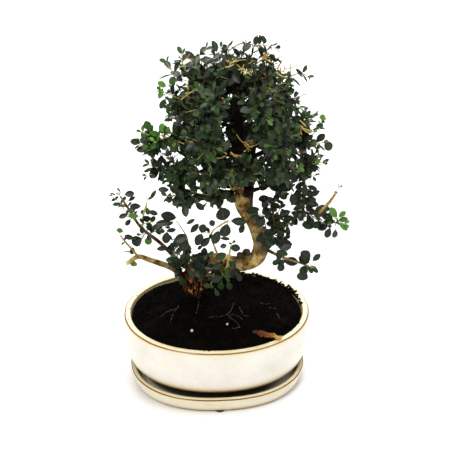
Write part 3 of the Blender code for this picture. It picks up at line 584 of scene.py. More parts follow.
# %% [markdown]
# ## The saucer
#
# The saucer is pressed and glazed like the pot, but it is shallow, with a plain flat floor. Its rim
# breaks brown in the same way, and its foot shows a thin dark line where the glaze was wiped off
# before firing.

# %% Saucer body
SAUCER_FOOT = saucer_low.z
SAUCER_TOP = saucer_high.z
saucer_half_length = (saucer_high.x - saucer_low.x) / 2
saucer_half_width = (saucer_high.y - saucer_low.y) / 2
SAUCER_PROFILE = [
    (8.0 * MM, SAUCER_FOOT), (5.6 * MM, SAUCER_FOOT), (4.3 * MM, SAUCER_FOOT + 0.8 * MM),
    (3.1 * MM, SAUCER_FOOT + 3.5 * MM), (1.6 * MM, SAUCER_FOOT + 10 * MM),
    (0.6 * MM, SAUCER_TOP - 5.0 * MM), (0.1 * MM, SAUCER_TOP - 2.0 * MM),
    (0.4 * MM, SAUCER_TOP - 0.7 * MM), (1.3 * MM, SAUCER_TOP - 0.1 * MM), (3.0 * MM, SAUCER_TOP),
    (5.2 * MM, SAUCER_TOP - 0.2 * MM), (6.6 * MM, SAUCER_TOP - 1.0 * MM),
    (7.4 * MM, SAUCER_TOP - 3.5 * MM), (9.4 * MM, SAUCER_FOOT + 8.4 * MM),
    (10.6 * MM, SAUCER_FOOT + 5.6 * MM), (13.0 * MM, SAUCER_FOOT + 4.5 * MM),
    (18.0 * MM, SAUCER_FOOT + 4.4 * MM), (30.0 * MM, SAUCER_FOOT + 4.5 * MM),
]
saucer_heap = Heap()
put_vessel(saucer_heap, SAUCER_MIDDLE, saucer_half_length, saucer_half_width, SAUCER_PROFILE,
           {"foot_mm": 1.5, "line_mm": 7.2, "lip_mm": 0.0, "floor_mm": 15.0}, SAUCER_POWER)
make_piece("drip_saucer", saucer_heap, [saucer_glaze], ("saucer",), sharp=60.0)

# %% [markdown]
# ## Rubber pads
#
# Four little self-adhesive pads of black rubber keep the saucer from scratching a table. They are
# cut from soft moulded sheet with a rounded top edge, so a lathe profile fits. Rubber is dull,
# IOR about 1.52, with a fine leathery grain that is drawn a little coarse here.

# %% Rubber material and pads
rubber, tree, shader = start_finish("black_rubber", IOR=1.52)
place = add(tree, "ShaderNodeTexCoord").outputs["Object"]
grain = add(tree, "ShaderNodeTexNoise", {"Vector": place, "Scale": 900.0, "Detail": 3.0})
tint = add(tree, "ShaderNodeValToRGB", {"Fac": grain.outputs["Fac"]},
           stops=[(0.3, "#0c0c0d"), (0.7, "#1d1d1f")])
dull = add(tree, "ShaderNodeMapRange", {"Value": grain.outputs["Fac"], "To Min": 0.55, "To Max": 0.80})
relief = add(tree, "ShaderNodeBump", {"Height": grain.outputs["Fac"], "Strength": 0.3, "Distance": 0.0003})
tree.links.new(tint.outputs["Color"], shader.inputs["Base Color"])
tree.links.new(dull.outputs["Result"], shader.inputs["Roughness"])
tree.links.new(relief.outputs["Normal"], shader.inputs["Normal"])


def put_turned(heap, middle, profile, sides=48):
    """A lathe body: (radius, height) pairs turned about an upright axis."""
    points = []
    for radius, height in profile:
        for corner in range(sides):
            turn = 2 * math.pi * corner / sides
            points.append(Vector((middle.x + radius * math.cos(turn),
                                  middle.y + radius * math.sin(turn), height)))
    heap.put(points, ring_faces(len(profile), sides))


pad_heap = Heap()
PAD_NODES = ["saucer_pad_" + side for side in ("front", "back", "left", "right")]
for node in PAD_NODES:
    low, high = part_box(node)
    radius = (high.x - low.x) / 2
    put_turned(pad_heap, (low + high) / 2,
               [(radius - 1.2 * MM, low.z), (radius - 0.3 * MM, low.z + 0.2 * MM),
                (radius, low.z + 0.7 * MM), (radius, high.z - 0.5 * MM), (radius - 0.5 * MM, high.z)])
make_piece("rubber_pads", pad_heap, [rubber], PAD_NODES)

# %% [markdown]
# ## Drainage mesh
#
# Over each drain hole lies a square of plastic net, so that the soil can't wash out. Moulded net
# is two layers of thin bars that cross and fuse. It is buried, but it is built as it is.

# %% Net material and pieces
net_plastic, tree, shader = start_finish("black_polyethylene", IOR=1.5)
place = add(tree, "ShaderNodeTexCoord").outputs["Object"]
grain = add(tree, "ShaderNodeTexNoise", {"Vector": place, "Scale": 600.0})
tint = add(tree, "ShaderNodeValToRGB", {"Fac": grain.outputs["Fac"]},
           stops=[(0.3, "#111213"), (0.7, "#24262a")])
dull = add(tree, "ShaderNodeMapRange", {"Value": grain.outputs["Fac"], "To Min": 0.35, "To Max": 0.55})
tree.links.new(tint.outputs["Color"], shader.inputs["Base Color"])
tree.links.new(dull.outputs["Result"], shader.inputs["Roughness"])

NET_NODES = ("drainage_mesh_left", "drainage_mesh_right")
NET_BARS = 11                        # each way
net_heap = Heap()
for node in NET_NODES:
    low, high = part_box(node)
    bar = (high.z - low.z) / 2 * 0.55    # radius: a little over half a layer, so that the bars fuse
    for index in range(NET_BARS):
        share = (index + 0.5) / NET_BARS
        x = low.x + (high.x - low.x) * share
        y = low.y + (high.y - low.y) * share
        put_tube(net_heap, [(x, low.y, low.z + bar), (x, high.y, low.z + bar)], [bar] * 2, 8, 0.01)
        put_tube(net_heap, [(low.x, y, high.z - bar), (high.x, y, high.z - bar)], [bar] * 2, 8, 0.01)
make_piece("drainage_nets", net_heap, [net_plastic], NET_NODES)

# %% [markdown]
# ## Soil
#
# Bonsai soil here is a dark, moist mix of peat and fine compost, so it is nearly black and takes
# little sheen. Seen close it is crumbs on crumbs. The body is a loft that fills the pot, with a
# top that is pushed up and down by noise at two sizes, and loose crumbs lie on it. The same crumbs
# spilled over the rim when the pot was filled.

# %% Soil material
peat, tree, shader = start_finish("moist_peat", IOR=1.45, Roughness=0.97, Specular_IOR_Level=0.06)
place = add(tree, "ShaderNodeTexCoord").outputs["Object"]
fine = add(tree, "ShaderNodeTexNoise", {"Vector": place, "Scale": 700.0, "Detail": 5.0, "Roughness": 0.7})
broad = add(tree, "ShaderNodeTexNoise", {"Vector": place, "Scale": 60.0, "Detail": 3.0})
mixed = add(tree, "ShaderNodeMath", {0: fine.outputs["Fac"], 1: broad.outputs["Fac"]},
            operation="MULTIPLY")
tint = add(tree, "ShaderNodeValToRGB", {"Fac": mixed.outputs[0]},
           stops=[(0.12, "#010100"), (0.28, "#060402"), (0.44, "#150d07")])
relief = add(tree, "ShaderNodeBump", {"Height": fine.outputs["Fac"], "Strength": 0.7, "Distance": 0.0008})
tree.links.new(tint.outputs["Color"], shader.inputs["Base Color"])
tree.links.new(relief.outputs["Normal"], shader.inputs["Normal"])

# %% Soil body
SOIL_ROUND = 260
SOIL_RINGS = 84                      # rings of the top, from the wall to the middle
soil_heap = Heap()


def crumbly(x, y):
    """How far the soil stands above its smooth surface: clods, crumbs and two banks at the back."""
    clod = noise.noise(Vector((x * 230.0, y * 230.0, 7.1)))
    crumb = noise.noise(Vector((x * 640.0, y * 640.0, 3.3)))
    out = math.hypot(x / INNER_HALF_LENGTH, y / INNER_HALF_WIDTH)
    turn = math.degrees(math.atan2(y / INNER_HALF_WIDTH, x / INNER_HALF_LENGTH))
    bank = max(0.0, min(1.0, (out - 0.82) / 0.13)) * max(0.0, 1 - abs(turn - 55) / 42)
    behind = max(0.0, min(1.0, (out - 0.80) / 0.15)) * max(0.0, 1 - abs(turn % 360 - 150) / 75)
    return 0.9 * MM * clod + 0.6 * MM * abs(crumb) + bank * 5.0 * MM + behind * 4.5 * MM


soil_points = []
soil_shares = [0.985 - 0.0115 * step for step in range(SOIL_RINGS)]
for inset, height in ((18.4 * MM, UNDERSIDE + 8.4 * MM), (14.9 * MM, UNDERSIDE + 12.2 * MM),
                      (12.0 * MM, RIM_HEIGHT - 0.55 * BODY_HEIGHT), (10.7 * MM, RIM_HEIGHT - 14 * MM)):
    for corner in range(SOIL_ROUND):
        turn = 2 * math.pi * (corner + 0.5) / SOIL_ROUND
        soil_points.append(oval_point(POT_MIDDLE, RIM_HALF_LENGTH - inset, RIM_HALF_WIDTH - inset,
                                      height, turn))
for share in soil_shares:
    for corner in range(SOIL_ROUND):
        turn = 2 * math.pi * (corner + 0.5) / SOIL_ROUND
        point = oval_point(Vector((0, 0, 0)), INNER_HALF_LENGTH * share, INNER_HALF_WIDTH * share,
                           0.0, turn)
        point.z = soil_height(point.x, point.y) + crumbly(point.x, point.y)
        soil_points.append(point + POT_MIDDLE)
soil_heap.put(soil_points, ring_faces(len(soil_points) // SOIL_ROUND, SOIL_ROUND))
make_piece("potting_soil", soil_heap, [peat], ("soil",), sharp=80.0)

# %% Loose crumbs
CRUMB_COUNT = 1500
FINE_CRUMB = 1.0 * MM                # up to this size a crumb is drawn with few faces
chance = random.Random(5)
crumb_heap = Heap()


def put_crumb(x, y, height, size):
    """One crumb that rests at a point given from the pot's middle."""
    shape = (size * chance.uniform(0.8, 1.3), size * chance.uniform(0.7, 1.1),
             size * chance.uniform(0.5, 0.9))
    turn = Matrix.Rotation(chance.uniform(0, math.pi), 3, "Z")
    put_lump(crumb_heap, POT_MIDDLE + Vector((x, y, height + 0.35 * size)), shape, 0.9,
             chance.uniform(0, 40), 1 if size > FINE_CRUMB else 0, turn)


for _ in range(CRUMB_COUNT):
    turn = chance.uniform(0, 2 * math.pi)
    out = 0.97 * math.sqrt(chance.random())
    x = INNER_HALF_LENGTH * out * math.cos(turn)
    y = INNER_HALF_WIDTH * out * math.sin(turn)
    put_crumb(x, y, soil_height(x, y) + crumbly(x, y) - 0.3 * MM,
              chance.uniform(0.5, 1.0) ** 2 * 2.2 * MM)

# Spilled on the rim: (from this turn, to this turn, how many, largest size in mm).
SPILLS = ((22, 92, 330, 1.9), (4, 30, 60, 1.6), (-36, -20, 8, 1.2), (-100, -96, 7, 1.4),
          (-80, -72, 3, 1.0), (150, 200, 10, 0.9))
for turn_from, turn_to, count, largest in SPILLS:
    for _ in range(count):
        turn = math.radians(chance.uniform(turn_from, turn_to))
        inward = chance.random() ** 0.35
        inset = RIM_WIDTH * (0.20 + 0.86 * inward)
        x = (RIM_HALF_LENGTH - inset) * math.cos(turn)
        y = (RIM_HALF_WIDTH - inset) * math.sin(turn)
        size = chance.uniform(0.5, 1.0) * largest * MM
        sunk = 0.2 * MM if inset < RIM_WIDTH - 1 * MM else 1.6 * MM
        put_crumb(x, y, RIM_HEIGHT - sunk, size)
make_piece("soil_crumbs", crumb_heap, [peat], sharp=25.0)

# %% [markdown]
# ## Dried rootlets and small finds on the soil
#
# Washed-out hair roots lie on the soil as pale threads that fork. A cream fertiliser bead, a white
# grain of perlite and a flake of bark lie among them. Threads are thin tubes with a slight
# wander, and the bark flake is a lofted splinter with ridges along it.

# %% Root material
dry_root, tree, shader = start_finish("dried_root", IOR=1.45, Roughness=0.85)
place = add(tree, "ShaderNodeTexCoord").outputs["Object"]
flecks = add(tree, "ShaderNodeTexNoise", {"Vector": place, "Scale": 320.0, "Detail": 3.0})
tint = add(tree, "ShaderNodeValToRGB", {"Fac": flecks.outputs["Fac"]},
           stops=[(0.30, "#1c140d"), (0.52, "#44362a"), (0.80, "#8a7654")])
tree.links.new(tint.outputs["Color"], shader.inputs["Base Color"])


# %% Rootlets
def on_soil(share_x, share_y, above=0.0):
    """A point on the soil, from shares of the pot's inner half sizes."""
    x, y = share_x * INNER_HALF_LENGTH, share_y * INNER_HALF_WIDTH
    return POT_MIDDLE + Vector((x, y, soil_height(x, y) + above))


def over_soil(shares, above):
    """The route through shares of the pot, laid over the crumbs with a point every few millimetres."""
    steps = [(first, second, step / 5) for first, second in zip(shares, shares[1:]) for step in range(5)]
    places = [(a[0] + (b[0] - a[0]) * t, a[1] + (b[1] - a[1]) * t) for a, b, t in steps] + [shares[-1]]
    return [on_soil(u, v, above + crumbly(u * INNER_HALF_LENGTH, v * INNER_HALF_WIDTH))
            for u, v in places]


# Tangles of threads, by shares of the pot's inner half sizes. The first thread of each is the thickest.
ROOT_THREADS = [
    [[(0.21, 0.17), (0.17, -0.02), (0.12, -0.12), (0.15, -0.19), (0.21, -0.30), (0.25, -0.44)],
     [(0.12, -0.12), (0.04, -0.16), (-0.06, -0.16), (-0.12, -0.18)],
     [(0.13, -0.14), (0.19, -0.12), (0.26, -0.18), (0.29, -0.26)],
     [(0.27, 0.06), (0.29, -0.06), (0.31, -0.16), (0.37, -0.17)],
     [(0.25, -0.44), (0.21, -0.47), (0.16, -0.47)]],
    [[(-0.20, 0.32), (-0.215, 0.12), (-0.24, -0.05)],
     [(-0.21, 0.20), (-0.17, 0.12)]],
    [[(-0.44, 0.16), (-0.50, 0.03), (-0.53, -0.12), (-0.55, -0.24)],
     [(-0.47, 0.10), (-0.60, 0.02), (-0.66, -0.10)]],
    [[(0.70, -0.12), (0.72, -0.22), (0.74, -0.30)],
     [(0.52, 0.14), (0.58, 0.10), (0.64, 0.13)],
     [(0.62, 0.02), (0.70, -0.01)]],
]
thread_heap = Heap()
for threads in ROOT_THREADS:
    for number, shares in enumerate(threads):
        route = over_soil(shares, 0.6 * MM)
        width = 0.62 * MM if number == 0 else 0.45 * MM
        radii = [width * (1 - 0.4 * i / (len(route) - 1)) for i in range(len(route))]
        put_tube(thread_heap, route, radii, 6, 0.003, 0.5, number * 9.0)
make_piece("surface_rootlets", thread_heap, [dry_root],
           ["surface_rootlet_" + name for name in ("middle", "left", "far")])

# %% Fertiliser bead and perlite grain
resin, tree, shader = start_finish("fertiliser_resin", IOR=1.5, Roughness=0.38, Subsurface_Weight=0.15)
place = add(tree, "ShaderNodeTexCoord").outputs["Object"]
cloud = add(tree, "ShaderNodeTexNoise", {"Vector": place, "Scale": 500.0})
tint = add(tree, "ShaderNodeValToRGB", {"Fac": cloud.outputs["Fac"]},
           stops=[(0.3, "#d9b877"), (0.7, "#f2dfae")])
tree.links.new(tint.outputs["Color"], shader.inputs["Base Color"])

expanded, tree, shader = start_finish("perlite_glass_foam", IOR=1.5, Roughness=0.85)
place = add(tree, "ShaderNodeTexCoord").outputs["Object"]
cloud = add(tree, "ShaderNodeTexNoise", {"Vector": place, "Scale": 900.0})
tint = add(tree, "ShaderNodeValToRGB", {"Fac": cloud.outputs["Fac"]},
           stops=[(0.3, "#c9c9c6"), (0.7, "#f4f4f2")])
tree.links.new(tint.outputs["Color"], shader.inputs["Base Color"])

# Each grain: piece, CAD node, finish, slot, how rough. Half a millimetre lifts it out of the crumbs.
GRAINS = (("fertiliser_pellet", "fertiliser_bead", resin, "fertiliser_coat", 0.08),
          ("perlite_crumb", "perlite_grain", expanded, "perlite", 0.5))
for name, node, finish, slot_name, rough in GRAINS:
    low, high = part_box(node)
    grain_heap = Heap()
    middle = (low + high) / 2 + Vector((0, 0, 0.5 * MM))
    put_lump(grain_heap, middle, (high - low) / 2, rough, 4.0, 3)
    make_piece(name, grain_heap, [finish], (node,), 180.0)

# %% Bark flake
flake_bark, tree, shader = start_finish("pine_bark_flake", IOR=1.45, Roughness=0.85)
place = add(tree, "ShaderNodeTexCoord").outputs["Object"]
run = add(tree, "ShaderNodeAttribute", attribute_name="along")
streak = add(tree, "ShaderNodeTexNoise", {"Vector": place, "Scale": 420.0, "Detail": 4.0})
mixed = add(tree, "ShaderNodeMath", {0: streak.outputs["Fac"], 1: 0.55, 2: run.outputs["Fac"]},
            operation="MULTIPLY_ADD")
tint = add(tree, "ShaderNodeValToRGB", {"Fac": mixed.outputs[0]},
           stops=[(0.22, "#120804"), (0.42, "#57260f"), (0.62, "#85461c"), (0.80, "#d0a446")])
relief = add(tree, "ShaderNodeBump", {"Height": streak.outputs["Fac"], "Strength": 0.8, "Distance": 0.0006})
tree.links.new(tint.outputs["Color"], shader.inputs["Base Color"])
tree.links.new(relief.outputs["Normal"], shader.inputs["Normal"])

chip_low, chip_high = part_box("bark_chip")
chip_start = Vector((chip_low.x + 3 * MM, chip_high.y - 4 * MM, chip_low.z + 2.6 * MM))
chip_end = Vector((chip_high.x - 2 * MM, chip_low.y + 4 * MM, chip_high.z - 2.4 * MM))
forward = (chip_end - chip_start).normalized()
sideways = forward.cross(Vector((0, 0, 1))).normalized()
upward = sideways.cross(forward)
chip_points, chip_along = [], []
CHIP_ROWS, CHIP_SIDES = 46, 30
for row in range(CHIP_ROWS):
    share = row / (CHIP_ROWS - 1)
    belly = 0.50 + 0.35 * math.sin(math.pi * (0.1 + 0.8 * share))
    belly += 0.5 * noise.noise(Vector((2.0, 7.0, share * 11)))
    middle = chip_start.lerp(chip_end, share)
    middle += upward * 1.4 * MM * noise.noise(Vector((4.0, 1.0, share * 6)))
    middle += sideways * 2.4 * MM * noise.noise(Vector((9.0, 3.0, share * 5)))
    for corner in range(CHIP_SIDES):
        turn = 2 * math.pi * corner / CHIP_SIDES
        around = Vector((math.cos(turn), math.sin(turn), 0.0))
        ridge = 1.0 + 0.60 * noise.noise(around * 2.6 + Vector((0, 0, share * 4.0)))
        ridge += 0.55 * noise.noise(around * 1.8 + Vector((5, 0, share * 22.0)))
        wide, thick = 4.3 * MM * belly * ridge, 2.5 * MM * belly * ridge
        chip_points.append(middle + sideways * wide * math.cos(turn) + upward * thick * math.sin(turn))
        chip_along.append(0.55 * share)
chip_heap = Heap()
chip_heap.put(chip_points, ring_faces(CHIP_ROWS, CHIP_SIDES), along=chip_along)
make_piece("bark_flake", chip_heap, [flake_bark], ("bark_chip",), 50.0)

# %% [markdown]
# ## Wood
#
# The stump is old and fibrous, with reddish strands and dark gaps between them, where the shade
# is painted into the colour. The long bend above it is smooth tan bark with tiny dark pores.
# Higher up, inside the crown, the wood is dark brown. All of it grew as one body. So every stem is
# swept as a tube, and the tubes are fused by a voxel remesh, which leaves soft collars at the forks
# as real wood has. The surface is then pushed in and out by noise that runs along the fibres.

# %% Stems of the tree, in centimetres from the foot of the trunk
TRUNK_ROUTE = [
    (0.2, 0.0, -1.2), (0.1, 0.0, 0.4), (0.1, 0.0, 2.8), (1.2, 0.0, 4.6), (3.6, -0.5, 5.1),
    (6.3, -1.0, 5.1), (8.3, -1.0, 5.8), (9.1, -0.8, 7.5), (8.8, -0.5, 9.4), (7.9, -0.5, 11.6),
    (6.7, -0.8, 13.6), (6.2, -1.0, 15.3), (5.8, -1.2, 16.9), (5.9, -1.3, 18.8), (5.9, -1.4, 21.5),
    (6.1, -1.5, 24.4), (5.8, -1.6, 27.6), (5.3, -1.7, 30.5),
]
TRUNK_RADII = [1.55, 1.65, 1.52, 1.38, 1.15, 1.04, 1.06, 1.08, 1.00,
               0.88, 0.82, 0.88, 0.84, 0.72, 0.65, 0.58, 0.48, 0.36]
TRUNK_DARK = [0.75, 0.75, 0.60, 0.40, 0.12, 0.05, 0.0, 0.05, 0.15,
              0.12, 0.08, 0.05, 0.30, 0.90, 1.25, 1.30, 1.30, 1.30]

# Each stem: route, first radius, last radius, first darkness, last darkness. 0 is tan, 1 is dark.
STEMS = {
    "dark_limb": ([(7.3, -0.8, 14.0), (7.5, -0.5, 17.0), (7.6, 0.4, 20.0), (8.4, 1.8, 23.5),
                   (9.2, 2.4, 26.2)], 0.62, 0.32, 0.7, 1.2),
    "neck": ([(6.7, -1.1, 15.2), (6.0, -1.3, 17.0), (5.4, -1.4, 18.6), (5.0, -1.5, 20.6)],
             0.80, 0.80, 0.0, 0.7),
    "left_limb": ([(5.4, -1.3, 19.4), (3.9, -1.4, 21.8), (1.4, -1.8, 23.4), (-1.2, -2.4, 24.8)],
                  0.45, 0.24, 0.9, 1.0),
    "cut_branch": ([(0.0, 0.0, 2.0), (-1.7, -0.5, 3.2), (-3.1, -1.0, 4.8), (-5.9, -2.0, 6.8),
                    (-7.5, -2.0, 7.4), (-9.1, -2.5, 6.6)], 0.50, 0.29, 0.7, 0.05),
    "left_branch": ([(0.2, 0.0, 3.0), (-1.6, 0.0, 4.6), (-4.5, 0.0, 8.2), (-7.0, 0.0, 10.8),
                     (-8.8, 0.0, 14.3), (-9.5, 0.0, 15.7)], 0.36, 0.13, 0.8, 0.6),
    "right_twig": ([(8.9, -0.6, 8.8), (10.6, -2.4, 11.2), (10.4, -2.6, 13.8), (10.6, -2.4, 16.0)],
                   0.30, 0.13, 0.8, 0.9),
    "low_right_twig": ([(9.0, -0.8, 7.8), (10.6, -2.6, 7.8), (12.2, -4.0, 7.8), (14.3, -5.0, 7.6),
                        (15.6, -5.0, 6.8)], 0.26, 0.12, 0.7, 0.5),
    "hanging_branch": ([(6.4, -1.0, 20.8), (9.6, -1.6, 22.8), (12.6, -2.0, 22.4), (14.1, -2.0, 20.0),
                        (14.5, -2.0, 16.6), (14.5, -2.2, 14.0), (16.6, -2.8, 13.8), (18.6, -3.0, 12.8)],
                       0.34, 0.15, 1.0, 0.7),
    "tan_twig": ([(16.4, -2.7, 13.8), (17.7, -3.0, 15.8), (18.5, -3.0, 17.2)], 0.26, 0.16, 0.0, 0.0),
    "stub_low": ([(6.2, -1.0, 16.0), (5.0, -2.2, 16.6)], 0.42, 0.36, 0.3, 0.5),
    "stub_bend": ([(9.0, -0.6, 9.0), (9.4, -2.2, 9.4)], 0.50, 0.42, 0.4, 0.9),
    "knob_inner": ([(6.3, -1.0, 5.6), (6.2, -1.2, 6.9)], 0.42, 0.46, 0.4, 1.0),
    "knob_outer": ([(7.2, -1.0, 6.0), (7.1, -1.1, 7.3)], 0.50, 0.52, 0.4, 1.0),
}

# Each crown tuft of leaves: middle and half sizes. Every one has a branch of its own.
CROWN_TUFTS = {
    "apex": ((5.4, -1.5, 35.0), (4.0, 3.6, 3.0)), "top_left": ((1.3, -1.8, 33.4), (3.4, 3.6, 3.0)),
    "top_right": ((9.2, -1.3, 33.2), (3.4, 3.6, 2.8)), "upper_left": ((-0.9, -1.8, 30.0), (3.3, 3.6, 3.0)),
    "upper_front_left": ((1.8, -6.4, 32.0), (3.4, 3.4, 3.2)),
    "upper_front_right": ((8.3, -6.3, 31.8), (3.6, 3.4, 3.2)),
    "upper_right": ((11.4, -0.8, 30.2), (3.2, 3.8, 3.0)),
    "upper_back_left": ((2.4, 3.6, 30.6), (4.0, 3.8, 3.4)),
    "upper_back_right": ((8.8, 3.8, 30.2), (4.0, 3.8, 3.4)),
    "middle_left_tip": ((-4.5, -3.0, 25.7), (3.2, 2.4, 1.9)),
    "middle_left": ((-1.0, -2.0, 25.8), (3.6, 3.8, 3.0)),
    "middle_front_left": ((1.7, -7.8, 27.8), (3.4, 3.2, 3.2)),
    "middle_front_right": ((10.0, -7.0, 27.6), (3.6, 3.4, 3.2)),
    "middle_right": ((13.5, -1.8, 25.7), (3.4, 4.0, 3.2)),
    "middle_back_left": ((1.4, 4.4, 25.2), (4.2, 4.0, 3.4)),
    "middle_back_right": ((10.8, 4.6, 25.0), (4.4, 4.0, 3.4)),
    "lower_left": ((-1.4, -3.0, 21.4), (3.6, 3.6, 2.6)),
    "lower_left_sprig": ((-4.8, -3.0, 21.6), (1.8, 1.5, 1.4)),
    "lower_front_left": ((2.2, -7.8, 23.4), (3.6, 3.2, 2.6)),
    "lower_front": ((6.2, -8.4, 24.0), (2.6, 2.6, 2.8)),
    "lower_front_right": ((10.6, -6.6, 23.2), (3.6, 3.4, 2.6)),
    "lower_right": ((14.8, -2.0, 21.1), (3.2, 3.6, 2.6)),
    "lower_back_left": ((1.6, 4.0, 20.4), (4.2, 3.8, 3.0)),
    "lower_back_right": ((11.2, 4.6, 20.2), (4.6, 4.0, 3.0)),
    "bottom_left": ((-0.8, -2.6, 17.5), (3.4, 3.2, 2.2)),
    "bottom_front": ((2.6, -5.0, 19.0), (3.0, 3.0, 2.2)),
    "bottom_right": ((11.2, -1.2, 18.4), (3.4, 3.4, 2.4)),
    "bottom_back": ((5.8, 4.0, 17.2), (4.0, 3.4, 2.2)),
}


CROWN_START = 11                     # crown branches leave the trunk above this point of its route


def crown_branch(middle, half):
    """Route in centimetres of the branch that carries a crown tuft: out of the trunk and rising."""
    middle = Vector(middle)
    reach = math.hypot(middle.x - 5.9, middle.y + 1.4)
    height = min(30.0, max(16.5, middle.z - 0.55 * reach))
    for low, high in zip(TRUNK_ROUTE[CROWN_START:], TRUNK_ROUTE[CROWN_START + 1:]):
        if height <= high[2]:
            break
    share = min(1.0, max(0.0, (height - low[2]) / (high[2] - low[2])))
    start = Vector(low).lerp(Vector(high), share)
    end = middle.lerp(start, 0.35 * min(half) / (middle - start).length)
    return [start, start.lerp(end, 0.5) - Vector((0, 0, 0.10 * reach)), end]


# %% Fuse the stems
VOXEL = 0.85 * MM
stem_samples = []                    # (point, darkness, radius) to colour the fused wood by
wood_heap = Heap()


def put_stem(route, radii, dark, sides=14):
    """One stem into the wood, with samples that remember its darkness and its radius."""
    metres = [on_tree(point) for point in route]
    put_tube(wood_heap, metres, [r * CM for r in radii], sides, 0.005)
    for place, point in smooth_route(metres, 0.004):
        stem_samples.append((point, share_of(dark, place), share_of(radii, place) * CM))


def evenly(first, last, count):
    """count numbers from first to last."""
    return [first + (last - first) * index / (count - 1) for index in range(count)]


put_stem(TRUNK_ROUTE, TRUNK_RADII, TRUNK_DARK, sides=24)
for route, first, last, dark_first, dark_last in STEMS.values():
    put_stem(route, evenly(first, last, len(route)), evenly(dark_first, dark_last, len(route)))
for middle, half in CROWN_TUFTS.values():
    put_stem(crown_branch(middle, half), [0.28, 0.21, 0.14], [1.2, 1.1, 0.9])

# Fibrous strands on the stump, which run down the old wood, and roots that spread into the soil.
STRANDS = 26
ROOTS = 7
chance = random.Random(11)
for index in range(STRANDS):
    turn = 2 * math.pi * (index + chance.uniform(-0.4, 0.4)) / STRANDS
    top = chance.uniform(2.4, 4.6)
    route = []
    for step in range(6):
        share = step / 5
        height = top * (1 - share) - 0.5 * share
        twist = turn + 0.5 * share * chance.uniform(-1, 1)
        out = 1.24 + 0.12 * share ** 2 + chance.uniform(-0.12, 0.10) - 0.10 * (height > 2.6)
        front = 1.0 + 0.45 * share * max(0.0, -math.sin(twist))
        route.append((0.1 + out * math.cos(twist), out * front * math.sin(twist), height))
    width = chance.uniform(0.14, 0.30)
    put_stem(route, evenly(width * 0.5, width, 6), evenly(0.35, 0.65, 6), sides=8)
for index in range(ROOTS):
    turn = 2 * math.pi * (index + 0.4 + chance.uniform(-0.2, 0.2)) / ROOTS
    reach = chance.uniform(2.2, 3.0)
    route = [(0.1 + 0.9 * math.cos(turn), 0.9 * math.sin(turn), 0.7),
             (0.1 + 1.3 * math.cos(turn), 1.6 * math.sin(turn), 0.1),
             (0.1 + reach * math.cos(turn + 0.1), reach * math.sin(turn + 0.1), -0.9)]
    put_stem(route, [0.5, 0.42, 0.2], [0.6, 0.7, 0.9], sides=10)

wood_mesh = bpy.data.meshes.new("wood")
wood_mesh.from_pydata([tuple(p) for p in wood_heap.points], [], wood_heap.faces)
wood = bpy.data.objects.new("trunk_and_limbs", wood_mesh)
bpy.context.scene.collection.objects.link(wood)
fuse = wood.modifiers.new("fuse", "REMESH")
fuse.mode = "VOXEL"
fuse.voxel_size = VOXEL
ease = wood.modifiers.new("ease", "SMOOTH")
ease.factor = 0.5
ease.iterations = 3
graph = bpy.context.evaluated_depsgraph_get()
fused = bpy.data.meshes.new_from_object(wood.evaluated_get(graph))
wood.modifiers.clear()
wood.data = fused
print("fused wood", len(fused.vertices), "points")

# %% Bark relief and marks
tree_of_samples = kdtree.KDTree(len(stem_samples))
for index, sample in enumerate(stem_samples):
    tree_of_samples.insert(sample[0], index)
tree_of_samples.balance()
dark_marks, fibre_marks, relief_marks = [], [], []
moved = []
for vert in fused.vertices:
    nearest = tree_of_samples.find_n(vert.co, 3)
    weights = [1.0 / (distance + 0.5 * MM) for _, _, distance in nearest]
    total = sum(weights)
    dark = sum(w * stem_samples[i][1] for w, (_, i, _) in zip(weights, nearest)) / total
    radius = stem_samples[nearest[0][1]][2]
    height = (vert.co.z - TRUNK_FOOT.z) / CM
    from_foot = math.hypot(vert.co.x - TRUNK_FOOT.x, vert.co.y - TRUNK_FOOT.y) / CM
    fibre = max(0.0, min(1.0, (4.9 - height) / 1.3)) * max(0.0, min(1.0, (3.4 - from_foot) / 0.8))
    p = vert.co - TRUNK_FOOT
    strands = 0.8 * noise.noise(Vector((p.x * 500, p.y * 500, p.z * 120)))
    strands += 0.8 * noise.noise(Vector((p.x * 1100, p.y * 1100, p.z * 420)))
    lumps = noise.noise(p * 95.0) + 0.5 * noise.noise(p * 240.0)
    pits = noise.noise(p * 620.0)
    push = fibre * 1.15 * strands + (1 - fibre) * (0.50 * lumps * min(1.0, radius / (8 * MM)) + 0.16 * pits)
    moved.append(vert.co + vert.normal * push * MM)
    dark_marks.append(dark)
    fibre_marks.append(fibre)
    # The fibre colour is made darker over the lowest centimetre of the stump, towards the soil.
    darker_near_soil = 0.8 * fibre * max(0.0, min(1.0, (0.9 - height) / 0.8))
    # The fibre colour is read from this relief: low relief, in the gaps between fibres, is painted dark as
    # shade.
    relief_marks.append(fibre * strands - darker_near_soil + (1 - fibre) * (0.6 * lumps + 0.4 * pits))
for vert, point in zip(fused.vertices, moved):
    vert.co = point
for mark, values in (("dark", dark_marks), ("fibre", fibre_marks), ("relief", relief_marks)):
    layer = fused.attributes.new(mark, "FLOAT", "POINT")
    layer.data.foreach_set("value", values)
fused.shade_smooth()
